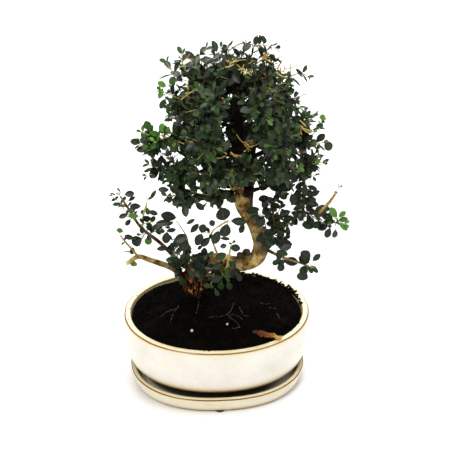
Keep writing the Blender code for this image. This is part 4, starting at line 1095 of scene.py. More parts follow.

# %% [markdown]
# ## Bark finish
#
# Three barks are mixed by the marks: smooth tan bark with pores about a millimetre apart, dark
# bark that is darkest inside the crown, and the orange-brown fibres of the stump, with painted
# shade in the gaps between them. Bark is dry and matt, so its roughness is high and its specular low.

# %% Bark material
bark, tree, shader = start_finish("olive_bark", IOR=1.45, Specular_IOR_Level=0.15)
place = add(tree, "ShaderNodeTexCoord").outputs["Object"]
dark = add(tree, "ShaderNodeAttribute", attribute_name="dark").outputs["Fac"]
fibre = add(tree, "ShaderNodeAttribute", attribute_name="fibre").outputs["Fac"]
relief = add(tree, "ShaderNodeAttribute", attribute_name="relief").outputs["Fac"]
patches = add(tree, "ShaderNodeTexNoise", {"Vector": place, "Scale": 85.0, "Detail": 5.0, "Roughness": 0.65})
tan = add(tree, "ShaderNodeValToRGB", {"Fac": patches.outputs["Fac"]},
          stops=[(0.30, "#2c1c0a"), (0.41, "#80602e"), (0.52, "#c4a35e"), (0.68, "#f0dda6")])
pores = add(tree, "ShaderNodeTexVoronoi", {"Vector": place, "Scale": 620.0})
pore = add(tree, "ShaderNodeMapRange", {"Value": pores.outputs["Distance"], "From Min": 0.20,
                                        "From Max": 0.40, "To Min": 0.90, "To Max": 0.0})
speckled = add(tree, "ShaderNodeMix", {0: pore.outputs["Result"], MIX_A: tan.outputs["Color"],
                                       MIX_B: linear("#5c3a18")}, data_type="RGBA").outputs[MIX_OUT]
scars = add(tree, "ShaderNodeTexNoise", {"Vector": place, "Scale": 140.0, "Detail": 3.0})
scar = add(tree, "ShaderNodeMapRange", {"Value": scars.outputs["Fac"], "From Min": 0.60, "From Max": 0.70,
                                        "To Max": 0.75})
speckled = add(tree, "ShaderNodeMix", {0: scar.outputs["Result"], MIX_A: speckled,
                                       MIX_B: linear("#7c3f1c")}, data_type="RGBA").outputs[MIX_OUT]
# Dark brown to near-black bark, used where the dark mark is high: most wood inside the crown and some limbs
# below it.
dark_bark = add(tree, "ShaderNodeValToRGB", {"Fac": patches.outputs["Fac"]},
                stops=[(0.30, "#060302"), (0.55, "#170d06"), (0.78, "#382412")])
mottled = add(tree, "ShaderNodeMapRange", {"Value": patches.outputs["Fac"], "To Min": -0.28, "To Max": 0.28})
darker = add(tree, "ShaderNodeMath", {0: dark, 1: mottled.outputs["Result"]},
             operation="ADD", use_clamp=True)
colour = add(tree, "ShaderNodeMix", {0: darker.outputs[0], MIX_A: speckled,
                                     MIX_B: dark_bark.outputs["Color"]}, data_type="RGBA").outputs[MIX_OUT]
# Painted shade: where the relief is low, in the gaps between the fibres, the colour runs to near black.
strand = add(tree, "ShaderNodeMapRange", {"Value": relief, "From Min": -0.55, "From Max": 0.75})
fibres = add(tree, "ShaderNodeValToRGB", {"Fac": strand.outputs["Result"]},
             stops=[(0.22, "#070302"), (0.45, "#3a1a0a"), (0.66, "#7c451d"), (0.92, "#cf9650")])
colour = add(tree, "ShaderNodeMix", {0: fibre, MIX_A: colour, MIX_B: fibres.outputs["Color"]},
             data_type="RGBA").outputs[MIX_OUT]
tree.links.new(colour, shader.inputs["Base Color"])
rough = add(tree, "ShaderNodeMapRange", {"Value": patches.outputs["Fac"], "To Min": 0.68, "To Max": 0.90})
tree.links.new(rough.outputs["Result"], shader.inputs["Roughness"])
cracks = add(tree, "ShaderNodeTexNoise", {"Vector": place, "Scale": 900.0, "Detail": 3.0})
bump = add(tree, "ShaderNodeBump", {"Height": cracks.outputs["Fac"], "Strength": 0.5, "Distance": 0.0004})
tree.links.new(bump.outputs["Normal"], shader.inputs["Normal"])
wood.data.materials.clear()
wood.data.materials.append(bark)
settle(wood, ("trunk_and_branches",))

# %% [markdown]
# ## Leaves
#
# The leaves are small, oval and leathery, with a waxy grey sheen above and a paler grey-green
# below. They stand in opposite pairs, and each pair is turned a quarter from the last. One leaf is
# a thin closed body: an upper skin that folds up a little from the midrib, a lower skin, and a
# short stalk. Making each leaf by code lets its length, fold and droop differ.

# %% Leaf finish
def make_leaf_finish(name, old_dark, old_light, young_dark, young_light, rib, gloss):
    """Waxy leaf skin, mixed from old and young by the leaf's own marks."""
    finish, tree, shader = start_finish(name, IOR=1.45, Specular_IOR_Level=0.24,
                                       Coat_Weight=gloss, Coat_Roughness=0.30)
    place = add(tree, "ShaderNodeTexCoord").outputs["Object"]
    tone = add(tree, "ShaderNodeAttribute", attribute_name="tone").outputs["Fac"]
    youth = add(tree, "ShaderNodeAttribute", attribute_name="youth").outputs["Fac"]
    across = add(tree, "ShaderNodeAttribute", attribute_name="across").outputs["Fac"]
    mottle = add(tree, "ShaderNodeTexNoise", {"Vector": place, "Scale": 260.0, "Detail": 3.0})
    shade = add(tree, "ShaderNodeMath", {0: mottle.outputs["Fac"], 1: 0.35, 2: tone},
                operation="MULTIPLY_ADD")
    level = add(tree, "ShaderNodeMapRange", {"Value": shade.outputs[0], "From Min": 0.22, "From Max": 1.25})
    old = add(tree, "ShaderNodeMix", {0: level.outputs["Result"], MIX_A: linear(old_dark),
                                      MIX_B: linear(old_light)}, data_type="RGBA").outputs[MIX_OUT]
    young = add(tree, "ShaderNodeMix", {0: level.outputs["Result"], MIX_A: linear(young_dark),
                                        MIX_B: linear(young_light)}, data_type="RGBA").outputs[MIX_OUT]
    skin = add(tree, "ShaderNodeMix", {0: youth, MIX_A: old, MIX_B: young},
               data_type="RGBA").outputs[MIX_OUT]
    middle = add(tree, "ShaderNodeMath", {0: across}, operation="ABSOLUTE")
    vein = add(tree, "ShaderNodeMapRange", {"Value": middle.outputs[0], "From Min": 0.03, "From Max": 0.14,
                                            "To Min": 0.45, "To Max": 0.0})
    skin = add(tree, "ShaderNodeMix", {0: vein.outputs["Result"], MIX_A: skin, MIX_B: linear(rib)},
               data_type="RGBA").outputs[MIX_OUT]
    tree.links.new(skin, shader.inputs["Base Color"])
    rough = add(tree, "ShaderNodeMapRange", {"Value": mottle.outputs["Fac"], "To Min": 0.38, "To Max": 0.58})
    tree.links.new(rough.outputs["Result"], shader.inputs["Roughness"])
    grain = add(tree, "ShaderNodeBump",
                {"Height": mottle.outputs["Fac"], "Strength": 0.25, "Distance": 0.0004})
    tree.links.new(grain.outputs["Normal"], shader.inputs["Normal"])
    return finish


leaf_upper = make_leaf_finish("olive_leaf_upper", "#060a04", "#2a3b22", "#35701a", "#86bc44",
                              "#3f4f33", gloss=0.16)
leaf_under = make_leaf_finish("olive_leaf_under", "#182214", "#46563c", "#56842c", "#96bc54",
                              "#5c6b4c", gloss=0.05)
LEAF_SKINS = [leaf_upper, leaf_under]
print("leaf skins", [skin.name for skin in LEAF_SKINS])

# %% Twig finish
twig_bark, tree, shader = start_finish("young_twig_bark", IOR=1.45, Roughness=0.75, Specular_IOR_Level=0.3)
place = add(tree, "ShaderNodeTexCoord").outputs["Object"]
age = add(tree, "ShaderNodeAttribute", attribute_name="age").outputs["Fac"]
rings = add(tree, "ShaderNodeTexNoise", {"Vector": place, "Scale": 300.0, "Detail": 3.0})
mixed = add(tree, "ShaderNodeMath", {0: rings.outputs["Fac"], 1: 0.4, 2: age}, operation="MULTIPLY_ADD")
tint = add(tree, "ShaderNodeValToRGB", {"Fac": mixed.outputs[0]},
           stops=[(0.10, "#b9b86e"), (0.35, "#c9a65c"), (0.60, "#8f6a36"), (0.95, "#2c1c10")])
bump = add(tree, "ShaderNodeBump", {"Height": rings.outputs["Fac"], "Strength": 0.4, "Distance": 0.0003})
tree.links.new(tint.outputs["Color"], shader.inputs["Base Color"])
tree.links.new(bump.outputs["Normal"], shader.inputs["Normal"])

# %% One leaf
STATIONS = (0.10, 0.27, 0.48, 0.70, 0.89)    # shares of the blade's length
COLUMNS = (-1.0, -0.5, 0.0, 0.5, 1.0)        # from edge to edge, 0 on the midrib
UPPER_FACES = (len(COLUMNS) - 1) * (len(STATIONS) + 1)    # of one leaf, used to count leaves
LEAF_THICK = 0.32 * MM
STALK_RADIUS = 0.42 * MM


def half_width(share):
    """Half width of the blade at a share of its length, as a share of the widest."""
    return math.sin(math.pi * share ** 1.12) ** 0.62


def put_leaf(heap, base, toward, face, length, wide, fold, droop, tone, youth):
    """One leaf: from its base on the twig, along toward, with its upper side to face."""
    along = toward.normalized()
    up = face - along * face.dot(along)
    up = up.normalized() if up.length > 1e-6 else along.orthogonal().normalized()
    side = up.cross(along)
    stalk = 0.10 * length

    def at(share, across, lift):
        x = stalk + share * (length - stalk)
        y = across * half_width(share) * wide * length / 2
        z = fold * abs(y) - droop * length * share * share + lift
        return base + along * x + side * y + up * z

    points = [at(0.0, 0.0, 0.0)]
    across_marks = [0.0]
    for share in STATIONS:
        for column in COLUMNS:
            puff = 0.18 * MM if abs(column) == 0.5 else 0.0
            points.append(at(share, column, puff))
            across_marks.append(column)
    points.append(at(1.0, 0.0, 0.0))
    across_marks.append(0.0)
    tip = len(points) - 1
    for share in STATIONS:
        points.append(at(share, 0.0, -LEAF_THICK))
        across_marks.append(0.0)
    faces, slots = [], []
    for column in range(4):
        faces.append((0, 1 + column, 2 + column))
        faces.append((tip, tip - 4 + column, tip - 5 + column))
        slots += [0, 0]
        for row in range(len(STATIONS) - 1):
            first = 1 + row * 5 + column
            faces.append((first, first + 5, first + 6, first + 1))
            slots.append(0)
    low = tip + 1
    faces += [(0, low, 1), (0, 5, low), (tip, low + 4, tip - 1), (tip, tip - 5, low + 4)]
    slots += [1, 1, 1, 1]
    for row in range(len(STATIONS) - 1):
        left = 1 + row * 5
        faces.append((left, low + row, low + row + 1, left + 5))
        faces.append((left + 4, left + 9, low + row + 1, low + row))
        slots += [1, 1]
    heap.put(points, faces, slots, tone=tone, youth=youth, across=across_marks)

    # The stalk: a thin three-sided body from just inside the twig to the blade.
    stalk_points = []
    for start in (-0.6 * MM, stalk + 0.06 * length):
        for corner in range(3):
            turn = 2 * math.pi * corner / 3
            stalk_points.append(base + along * start + side * STALK_RADIUS * math.cos(turn)
                                + up * (STALK_RADIUS * math.sin(turn) - 0.1 * MM))
    heap.put(stalk_points, [(0, 1, 4, 3), (1, 2, 5, 4), (2, 0, 3, 5), (2, 1, 0), (3, 4, 5)],
             [1] * 5, tone=0.9, youth=min(1.0, youth + 0.3), across=1.0)


# %% [markdown]
# ## Shoots
#
# A shoot is a thin twig with leaf pairs. Leaves at its base are older and larger, and those at its
# tip are small, upright and a fresher green. Blades turn to the light, so each one faces partly up
# and partly the way its shoot grows.

# %% One shoot
YOUNG_SPOTS = [                      # new growth: (middle in cm, radius in cm)
    ((-3.1, -3.0, 32.9), 1.4), ((-4.6, -3.0, 26.4), 1.8), ((-3.0, -3.0, 26.0), 1.3),
    ((2.7, -8.0, 26.3), 1.1), ((4.7, -8.0, 25.4), 0.8), ((-0.8, -5.0, 20.0), 1.2),
    ((13.4, -5.0, 22.5), 1.5), ((16.0, -3.0, 21.3), 1.4), ((1.7, -3.0, 37.3), 0.9),
    ((19.6, -3.0, 12.6), 1.9), ((19.0, -3.0, 14.0), 1.0), ((8.4, -8.0, 30.2), 0.9),
]


def youth_at(point):
    """How young a leaf is, from the spots where new growth shows."""
    here = (point - TRUNK_FOOT) / CM
    most = 0.0
    for middle, radius in YOUNG_SPOTS:
        gap = math.hypot(here.x - middle[0], (here.y - middle[1]) * 0.5, here.z - middle[2])
        most = max(most, min(1.0, 1.6 * (1 - gap / radius)))
    return most


def put_shoot(leaves, twigs, chance, route, leaf_length, pairs, bare, turn, old,
              width=0.9, skip=0.06, keep=None):
    """A twig along a route in metres, with opposite pairs of leaves from the bare share to its tip."""
    read = [point for _, point in smooth_route(route, 0.003)]
    put_tube(twigs, route, evenly(width * MM, 0.45 * MM, len(route)), 6, 0.006, 0.35,
             chance.uniform(0, 50), age=(old, old - 0.25))
    across = None
    for pair in range(pairs):
        share = bare + (1 - bare) * pair / max(1, pairs - 1)
        index = min(len(read) - 1, max(1, round(share * (len(read) - 1))))
        spot = read[index]
        along = (read[index] - read[index - 1]).normalized()
        if across is None:
            across = Matrix.Rotation(turn, 3, along) @ along.orthogonal().normalized()
        across = (across - along * across.dot(along)).normalized()
        quarter = Matrix.Rotation(math.pi / 2 * pair + chance.uniform(-0.25, 0.25), 3, along)
        at_tip = pair / max(1, pairs - 1)
        opening = math.radians(72 - 38 * at_tip ** 2 + chance.uniform(-10, 10))
        size = leaf_length * MM * (1.0 - 0.45 * at_tip ** 2) * chance.uniform(0.82, 1.12)
        for hand in (-1, 1):
            if chance.random() < skip:
                continue
            sideways = quarter @ across * hand
            toward = along * math.cos(opening) + sideways * math.sin(opening)
            uneven = Vector([chance.uniform(-0.6, 0.6) for _ in range(3)])
            face = along * 0.8 + Vector((0, -0.15, 0.6)) + uneven
            if keep is not None and not keep(spot + toward * size * 0.6):
                continue
            wide = chance.uniform(0.48, 0.64)
            fold = chance.uniform(0.05, 0.35)
            droop = chance.uniform(-0.05, 0.22)
            tone = chance.random()
            youth = youth_at(spot) * (0.2 + 0.8 * at_tip ** 2) * chance.uniform(0.5, 1.0)
            put_leaf(leaves, spot, toward, face, size, wide, fold, droop, tone, youth + 0.15 * at_tip ** 3)


# %% [markdown]
# ## Crown
#
# Each tuft of the crown is filled from the end of its branch. Shoots fan out to its surface, most
# of them away from the middle of the crown, where the light is. The middle stays open: a window at
# the front lets the dark limbs show, as on the real tree.

# %% Fill the crown
CROWN_GROUPS = {
    "top": ("apex", "top_left", "top_right"),
    "upper_left": ("upper_left", "upper_front_left"),
    "upper_right": ("upper_right", "upper_front_right"),
    "upper_back": ("upper_back_left", "upper_back_right"),
    "middle_left": ("middle_left_tip", "middle_left", "middle_front_left"),
    "middle_right": ("middle_right", "middle_front_right"),
    "middle_back": ("middle_back_left", "middle_back_right"),
    "lower_left": ("lower_left", "lower_left_sprig", "lower_front_left"),
    "lower_front": ("lower_front", "bottom_front", "bottom_left"),
    "lower_right": ("lower_front_right", "lower_right", "bottom_right"),
    "lower_back": ("lower_back_left", "lower_back_right", "bottom_back"),
}


def outside_window(point):
    """False in the open window at the front of the crown, where limbs show."""
    here = (point - TRUNK_FOOT) / CM
    window = math.hypot((here.x - 4.9) / 0.9, (here.z - 28.4 + 0.5 * (here.y + 1)) / 1.3)
    return here.y > 0.4 or window > 1.0


# Leaves between and behind the tufts, so that no daylight shows through the middle of the crown.
FILLS = {
    "upper_back": [((5.6, 3.8, 30.4), (3.0, 2.6, 3.2)), ((5.4, 2.2, 27.6), (2.6, 1.6, 2.6))],
    "middle_back": [((5.8, 4.4, 25.6), (3.2, 2.6, 3.2)), ((6.0, 2.2, 24.6), (3.4, 1.6, 2.8))],
    "lower_back": [((6.2, 4.2, 21.2), (3.2, 2.8, 2.8)), ((6.4, 2.0, 19.8), (3.2, 1.6, 2.0))],
    "upper_left": [((1.6, -1.6, 30.6), (2.0, 2.6, 2.4))],
    "middle_left": [((1.8, -2.0, 26.0), (2.2, 3.0, 2.6))],
    "upper_right": [((8.2, -1.6, 30.4), (1.6, 2.6, 2.4))],
    "middle_right": [((8.8, -2.4, 26.4), (1.6, 3.0, 2.6))],
    "lower_front": [((3.2, -3.4, 21.8), (2.4, 2.4, 1.8)), ((8.0, -4.4, 21.4), (2.4, 2.6, 1.8))],
}

GOLDEN_TURN = 2.399963               # radians, spreads points evenly over a ball
YOUNG_SHARE = 0.14                   # this share of the shoots has pale young bark


def jitter(chance, most):
    """A small random step, up to most centimetres each way."""
    return Vector([chance.uniform(-most, most) for _ in range(3)])


crown_twigs = Heap()
leaf_total = 0
for group, tufts in CROWN_GROUPS.items():
    leaves = Heap()
    lumps = [(tuft, *CROWN_TUFTS[tuft], crown_branch(*CROWN_TUFTS[tuft])[-1]) for tuft in tufts]
    for middle, half in FILLS.get(group, []):
        root = Vector((5.8, -1.0, middle[2] - 1.2)).lerp(Vector(middle), 0.5)
        lumps.append((f"fill {middle}", middle, half, root))
    for tuft, middle, half, root in lumps:
        chance = random.Random("crown " + tuft)
        centre = Vector(middle)
        outward = (centre - Vector((5.6, -1.4, min(31.0, max(18.0, centre.z - 1.5))))).normalized()
        shoots = max(3, round((half[0] * half[1] * half[2]) ** (2 / 3) * 1.35))
        for index in range(shoots):
            height = 1 - 2 * (index + 0.5) / shoots
            turn = index * GOLDEN_TURN + chance.uniform(-0.3, 0.3)
            flat = math.sqrt(1 - height * height)
            way = Vector((flat * math.cos(turn), flat * math.sin(turn), height))
            if way.dot(outward) < -0.45:
                way = (way + 1.2 * outward).normalized()
            reach = Vector([max(0.8, half[i] - 0.9) * way[i] for i in range(3)])
            tip = centre + reach * chance.uniform(0.8, 1.12)
            start = root + jitter(chance, 0.4)
            bend = start.lerp(tip, 0.5) - Vector((0, 0, 0.25)) + jitter(chance, 0.3)
            young = chance.random() < YOUNG_SHARE
            old = chance.uniform(0.0, 0.3) if young else chance.uniform(0.6, 1.0)
            put_shoot(leaves, crown_twigs, chance, [on_tree(start), on_tree(bend), on_tree(tip)],
                      chance.uniform(13.0, 20.0), max(3, round((tip - start).length / 0.80)), 0.22,
                      chance.uniform(0, 3.1), old, keep=outside_window)
    leaf_total += leaves.slots.count(0) // UPPER_FACES
    make_piece("crown_leaves_" + group, leaves, LEAF_SKINS,
               ["leaves_" + tuft for tuft in tufts], 50.0)
make_piece("crown_twigs", crown_twigs, [twig_bark], sharp=60.0)
print("leaves in the crown", leaf_total)

# %% [markdown]
# ## Low twigs
#
# Below the crown single leaves can be told apart, so their twigs are placed one by one: the two left
# branches, the sprigs on the stump, the clusters at the bend and the hanging branch on the right.

# %% Low shoots
# Each shoot: route in cm, leaf length in mm as it looks from the front, pairs, bare share, turn in
# degrees, age.
LOW_SPRAYS = {
    "left_upper": (("leaves_left_upper",), [
        ([(-7.9, 0.0, 12.4), (-8.8, 0.0, 14.3), (-9.6, 0.0, 15.9)], 9, 4, 0.15, 20, 0.4),
        ([(-6.6, -0.4, 12.0), (-6.5, -0.6, 13.6), (-5.9, -0.6, 15.4)], 9, 2, 0.30, 60, -0.2),
        ([(-8.4, 0.0, 13.6), (-9.6, 0.2, 14.6), (-10.6, 0.3, 15.6)], 7, 3, 0.4, 40, -0.1),
        ([(-7.0, 0.0, 11.2), (-6.0, -0.8, 12.0), (-4.6, -1.0, 12.2)], 11, 3, 0.3, 80, 0.1),
        ([(-7.6, 0.0, 11.8), (-8.6, 0.6, 12.6), (-9.2, 0.8, 13.2)], 10, 3, 0.3, 10, 0.5)]),
    "left_lower": (("leaves_left_lower",), [
        ([(-8.9, -2.0, 9.4), (-9.4, -2.0, 10.4), (-9.8, -2.0, 11.4)], 7, 2, 0.2, 30, 0.2),
        ([(-6.0, 0.0, 9.6), (-5.2, -0.6, 10.4), (-3.8, -0.9, 11.2)], 11, 4, 0.1, 45, 0.3),
        ([(-6.0, 0.0, 9.6), (-6.4, 0.6, 9.4), (-7.0, 0.9, 9.0)], 10, 2, 0.4, 0, 0.5)]),
    "stump": (("leaves_left_pair", "leaves_pair_sprig", "leaves_stump_left", "leaves_stump_front",
               "leaves_stump_right"), [
        ([(-1.4, -1.0, 4.6), (-2.0, -1.8, 6.2), (-2.4, -2.0, 8.6)], 15, 4, 0.2, 20, 0.8),
        ([(0.4, -1.2, 4.6), (0.2, -2.2, 6.2), (-0.4, -2.4, 8.4)], 15, 3, 0.3, 50, 0.8),
        ([(1.0, -1.4, 4.4), (1.2, -2.6, 5.6), (1.4, -2.8, 7.0)], 14, 3, 0.3, 10, 0.8),
        ([(-0.6, -1.2, 4.6), (-1.8, -2.0, 5.6), (-2.8, -2.2, 6.6)], 17, 4, 0.1, 40, 0.9),
        ([(-0.8, -0.4, 5.0), (-2.2, -0.8, 7.2), (-2.8, -1.0, 9.2)], 16, 4, 0.1, 0, 0.9),
        ([(0.2, -1.6, 5.0), (0.9, -2.4, 6.4), (1.8, -2.6, 7.6)], 17, 4, 0.1, 70, 0.9),
        ([(3.2, -1.4, 4.9), (3.6, -3.0, 5.2), (4.2, -3.8, 4.8)], 14, 4, 0.2, 30, 0.6),
        ([(2.6, -1.4, 4.9), (2.6, -3.2, 5.0), (2.2, -4.2, 4.2)], 11, 3, 0.4, 60, 0.5)]),
    "middle": (("leaves_middle_sprig", "leaves_low_sprig"), [
        ([(2.4, -2.2, 10.6), (2.0, -2.5, 11.2), (1.4, -2.6, 11.4)], 8, 1, 0.4, 60, 0.0),
        ([(3.4, -2.9, 12.4), (4.4, -2.9, 13.1), (6.6, -3.0, 13.0)], 8, 1, 0.9, 20, 0.1),
        ([(4.6, -3.2, 6.4), (4.8, -3.2, 8.4), (5.1, -3.2, 10.2)], 7, 1, 0.9, 0, -0.3)]),
    "bend": (("leaves_right_low", "leaves_right_high", "leaves_low_right_inner"), [
        ([(10.0, -1.8, 10.4), (10.6, -2.4, 12.0), (10.4, -2.6, 14.6)], 14, 4, 0.1, 10, 0.7),
        ([(9.6, -1.4, 9.8), (10.6, -2.4, 10.6), (11.6, -2.8, 11.4)], 15, 3, 0.2, 70, 0.6),
        ([(10.5, -2.5, 12.6), (9.6, -2.6, 13.4), (8.6, -2.6, 14.0)], 14, 3, 0.3, 50, 0.6),
        ([(10.5, -2.5, 13.6), (11.2, -2.6, 14.4), (11.4, -2.6, 15.4)], 12, 3, 0.3, 0, 0.6),
        ([(10.2, -2.6, 13.2), (11.2, -2.4, 13.2), (12.4, -2.2, 12.2)], 9, 1, 0.9, 0, 0.7),
        ([(10.2, -2.4, 11.6), (11.0, -2.8, 12.6), (11.6, -2.8, 13.8)], 16, 4, 0.1, 30, 0.8),
        ([(9.8, -2.2, 11.0), (11.4, -2.8, 10.4), (12.4, -3.0, 9.6)], 15, 4, 0.1, 60, 0.8),
        ([(9.2, -2.2, 14.6), (10.2, -2.8, 15.8), (11.4, -2.8, 16.8)], 16, 4, 0.1, 60, 0.8),
        ([(11.0, -3.0, 7.9), (11.4, -3.6, 7.6), (11.8, -4.0, 6.6)], 12, 3, 0.2, 20, 0.3)]),
    "low_right": (("leaves_low_right_outer",), [
        ([(13.0, -4.4, 7.8), (14.4, -5.0, 7.5), (15.8, -5.0, 6.9)], 9, 2, 0.6, 40, 0.0)]),
    "hanging": (("leaves_hanging_left", "leaves_hanging_right", "leaves_hanging_tip"), [
        ([(14.2, -2.0, 17.2), (14.2, -2.2, 15.0), (13.6, -2.2, 12.6)], 12, 6, 0.05, 0, 0.9),
        ([(14.5, -2.2, 14.0), (13.4, -2.2, 12.8), (12.6, -2.0, 11.8)], 12, 4, 0.2, 20, 0.9),
        ([(14.2, -2.2, 17.0), (14.6, -2.6, 15.6), (14.4, -2.6, 14.0)], 14, 5, 0.0, 45, 0.9),
        ([(14.6, -2.4, 13.9), (16.6, -3.0, 14.0), (18.6, -3.2, 13.4)], 15, 5, 0.0, 45, 0.9),
        ([(15.4, -2.6, 13.6), (16.6, -2.8, 12.8), (17.6, -3.0, 12.2)], 14, 4, 0.1, 40, 0.8),
        ([(17.0, -2.8, 13.4), (18.6, -3.0, 12.6), (19.8, -3.0, 12.4)], 13, 3, 0.2, 10, 0.2),
        ([(16.8, -2.8, 13.8), (17.8, -3.0, 15.8), (18.8, -3.0, 18.0)], 9, 2, 0.75, 10, -0.1)]),
}
LOW_SPRAYS["crown_edge"] = ((), [
    ([(4.6, -1.5, 36.6), (6.2, -1.4, 37.5), (7.8, -1.3, 37.1), (9.8, -1.2, 35.8)], 14, 4, 0.55, 20, 0.7),
    ([(7.6, -1.3, 37.0), (8.8, -1.3, 37.2), (10.2, -1.3, 36.8)], 14, 4, 0.2, 60, 0.5),
    ([(8.0, -1.8, 35.0), (9.2, -1.8, 35.8), (10.4, -1.8, 35.6)], 14, 3, 0.3, 10, 0.5),
    ([(14.6, -2.0, 24.6), (15.8, -2.0, 26.0), (16.3, -2.0, 27.1)], 6, 2, 0.90, 0, -0.2),
    ([(-0.2, -2.0, 33.6), (-0.9, -2.0, 35.0), (-1.0, -2.0, 36.4)], 16, 4, 0.2, 10, -0.1),
    ([(0.6, -2.0, 34.4), (0.8, -2.0, 35.8), (1.8, -2.0, 37.0)], 16, 4, 0.2, 40, 0.0),
    ([(2.4, -2.0, 35.4), (3.2, -2.2, 36.6), (4.6, -2.2, 37.4)], 16, 4, 0.2, 20, 0.6),
    ([(-1.0, -2.4, 33.0), (-2.2, -2.4, 34.4), (-2.8, -2.4, 35.6)], 16, 4, 0.2, 50, 0.4),
    ([(11.6, -2.2, 33.2), (13.2, -2.2, 33.8), (14.2, -2.2, 33.4)], 15, 4, 0.2, 10, 0.6),
    ([(6.0, -2.4, 20.4), (7.4, -2.8, 19.8), (9.0, -3.0, 19.6)], 14, 4, 0.1, 30, 0.8),
    ([(4.6, -2.2, 20.8), (3.2, -2.6, 20.0), (1.6, -2.8, 19.8)], 14, 4, 0.1, 60, 0.8),
    ([(5.0, -2.4, 20.6), (5.2, -3.0, 19.8), (5.6, -3.2, 19.0)], 13, 3, 0.1, 60, 0.3),
    ([(13.4, -3.0, 22.8), (15.0, -3.0, 24.2), (16.4, -3.0, 24.6)], 15, 4, 0.15, 20, 0.6),
    ([(-1.4, -2.4, 30.8), (-2.6, -2.8, 31.6), (-3.6, -3.0, 32.2)], 12, 3, 0.3, 20, 0.1),
    ([(-3.4, -3.0, 25.4), (-4.8, -3.0, 26.0), (-6.2, -3.0, 26.6)], 12, 3, 0.3, 70, 0.1),
    ([(-3.4, -3.0, 24.9), (-5.0, -3.0, 24.8), (-6.4, -3.0, 24.9)], 14, 5, 0.1, 20, 0.4),
    ([(-2.4, -3.0, 23.9), (-4.0, -3.2, 23.6), (-5.4, -3.2, 23.8)], 15, 4, 0.1, 60, 0.8),
    ([(-2.9, -3.0, 20.9), (-4.4, -3.0, 20.9), (-5.8, -3.0, 20.4)], 11, 3, 0.3, 0, 0.3),
    ([(1.6, -3.2, 17.9), (3.0, -3.0, 17.2), (4.4, -2.6, 17.0)], 8, 1, 0.9, 0, 0.0)])

# Bare stems too thin for the fused wood: route in cm, first and last radius in mm, age.
THIN_STEMS = [
    ([(-6.8, 0.0, 10.5), (-6.6, -0.4, 12.8), (-6.0, -0.6, 15.0)], 1.6, 0.9, 0.0),
    ([(0.6, -0.4, 4.2), (-0.6, -1.6, 6.0), (-0.8, -2.0, 9.8), (-1.3, -2.3, 11.4),
      (-2.2, -2.5, 13.2)], 1.3, 0.6, 0.5),
    ([(3.2, -0.6, 5.2), (3.2, -1.6, 7.0), (2.6, -2.0, 9.2), (2.4, -2.2, 11.0), (3.2, -2.7, 12.3),
      (4.6, -2.9, 13.4)], 1.7, 0.7, 0.2),
    ([(4.4, -1.0, 5.0), (4.4, -3.0, 5.8), (4.5, -3.2, 7.4), (4.9, -3.2, 9.6)], 1.5, 0.8, -0.1),
    ([(1.0, -0.2, 4.0), (1.4, -2.4, 5.4), (2.4, -3.4, 5.8)], 1.6, 0.8, 0.6),
    ([(-7.4, -2.0, 7.3), (-8.7, -2.0, 9.3), (-9.7, -2.0, 10.8)], 1.7, 0.8, 0.35),
    ([(-8.2, -2.0, 8.0), (-8.8, -2.0, 8.3), (-9.3, -2.0, 8.2)], 0.8, 0.6, 0.7),
    ([(9.4, -1.6, 11.2), (9.6, -2.2, 11.8), (9.4, -2.6, 12.4)], 1.2, 0.7, 0.3),
    ([(9.2, -1.6, 10.6), (9.9, -2.4, 11.0), (10.5, -2.7, 11.4)], 1.2, 0.7, 0.3),
]

# Spurs: bare tan stubs where leaves have dropped. Middle in cm.
SPURS = [(-0.7, -3.4, 36.0), (4.6, -5.2, 36.4), (5.9, -5.2, 35.4), (0.0, -5.4, 33.2), (7.1, -5.2, 25.2),
         (4.1, -8.6, 26.2), (6.2, -7.6, 22.0), (13.5, -5.6, 28.0), (10.7, -4.6, 35.0), (8.8, -3.6, 36.2),
         (6.8, -5.0, 25.8), (0.8, -5.0, 26.0), (-3.0, -4.0, 26.2), (6.0, -2.6, 18.4), (5.4, -2.6, 17.8)]
SPUR_COUNT = 5                       # stubs at each

low_twigs = Heap()
chance = random.Random(21)
for route, first, last, age in THIN_STEMS:
    radii = [radius * MM for radius in evenly(first, last, len(route))]
    put_tube(low_twigs, [on_tree(point) for point in route], radii, 8, 0.005, 0.4,
             chance.uniform(0, 50), age=(age, age))
for middle in SPURS:
    for _ in range(SPUR_COUNT):
        way = Vector((chance.uniform(-1, 1), chance.uniform(-0.9, 0.1), chance.uniform(-0.3, 1)))
        way.normalize()
        start = Vector(middle) + Vector((chance.uniform(-0.5, 0.5), 0.8, chance.uniform(-0.6, 0.2)))
        tip = start + way * chance.uniform(0.9, 1.9)
        bend = start.lerp(tip, 0.5) + Vector((0, 0, chance.uniform(-0.2, 0.1)))
        put_tube(low_twigs, [on_tree(start), on_tree(bend), on_tree(tip)], [0.9 * MM, 0.75 * MM, 0.55 * MM],
                 6, 0.004, 0.5, chance.uniform(0, 50), age=chance.uniform(-0.05, 0.35))

SHOOT_LEAF_GROWTH = 1.22             # a leaf seen at a slant is longer than it looks
SINGLE_LEAF_GROWTH = 1.12
low_heaps = {}
for spray, (_, shoots) in LOW_SPRAYS.items():
    chance = random.Random("low " + spray)
    low_heaps[spray] = Heap()
    for route, leaf_length, pairs, bare, turn, old in shoots:
        put_shoot(low_heaps[spray], low_twigs, chance, [on_tree(point) for point in route],
                  SHOOT_LEAF_GROWTH * leaf_length, pairs, bare, math.radians(turn), old, 0.8, skip=0.0)

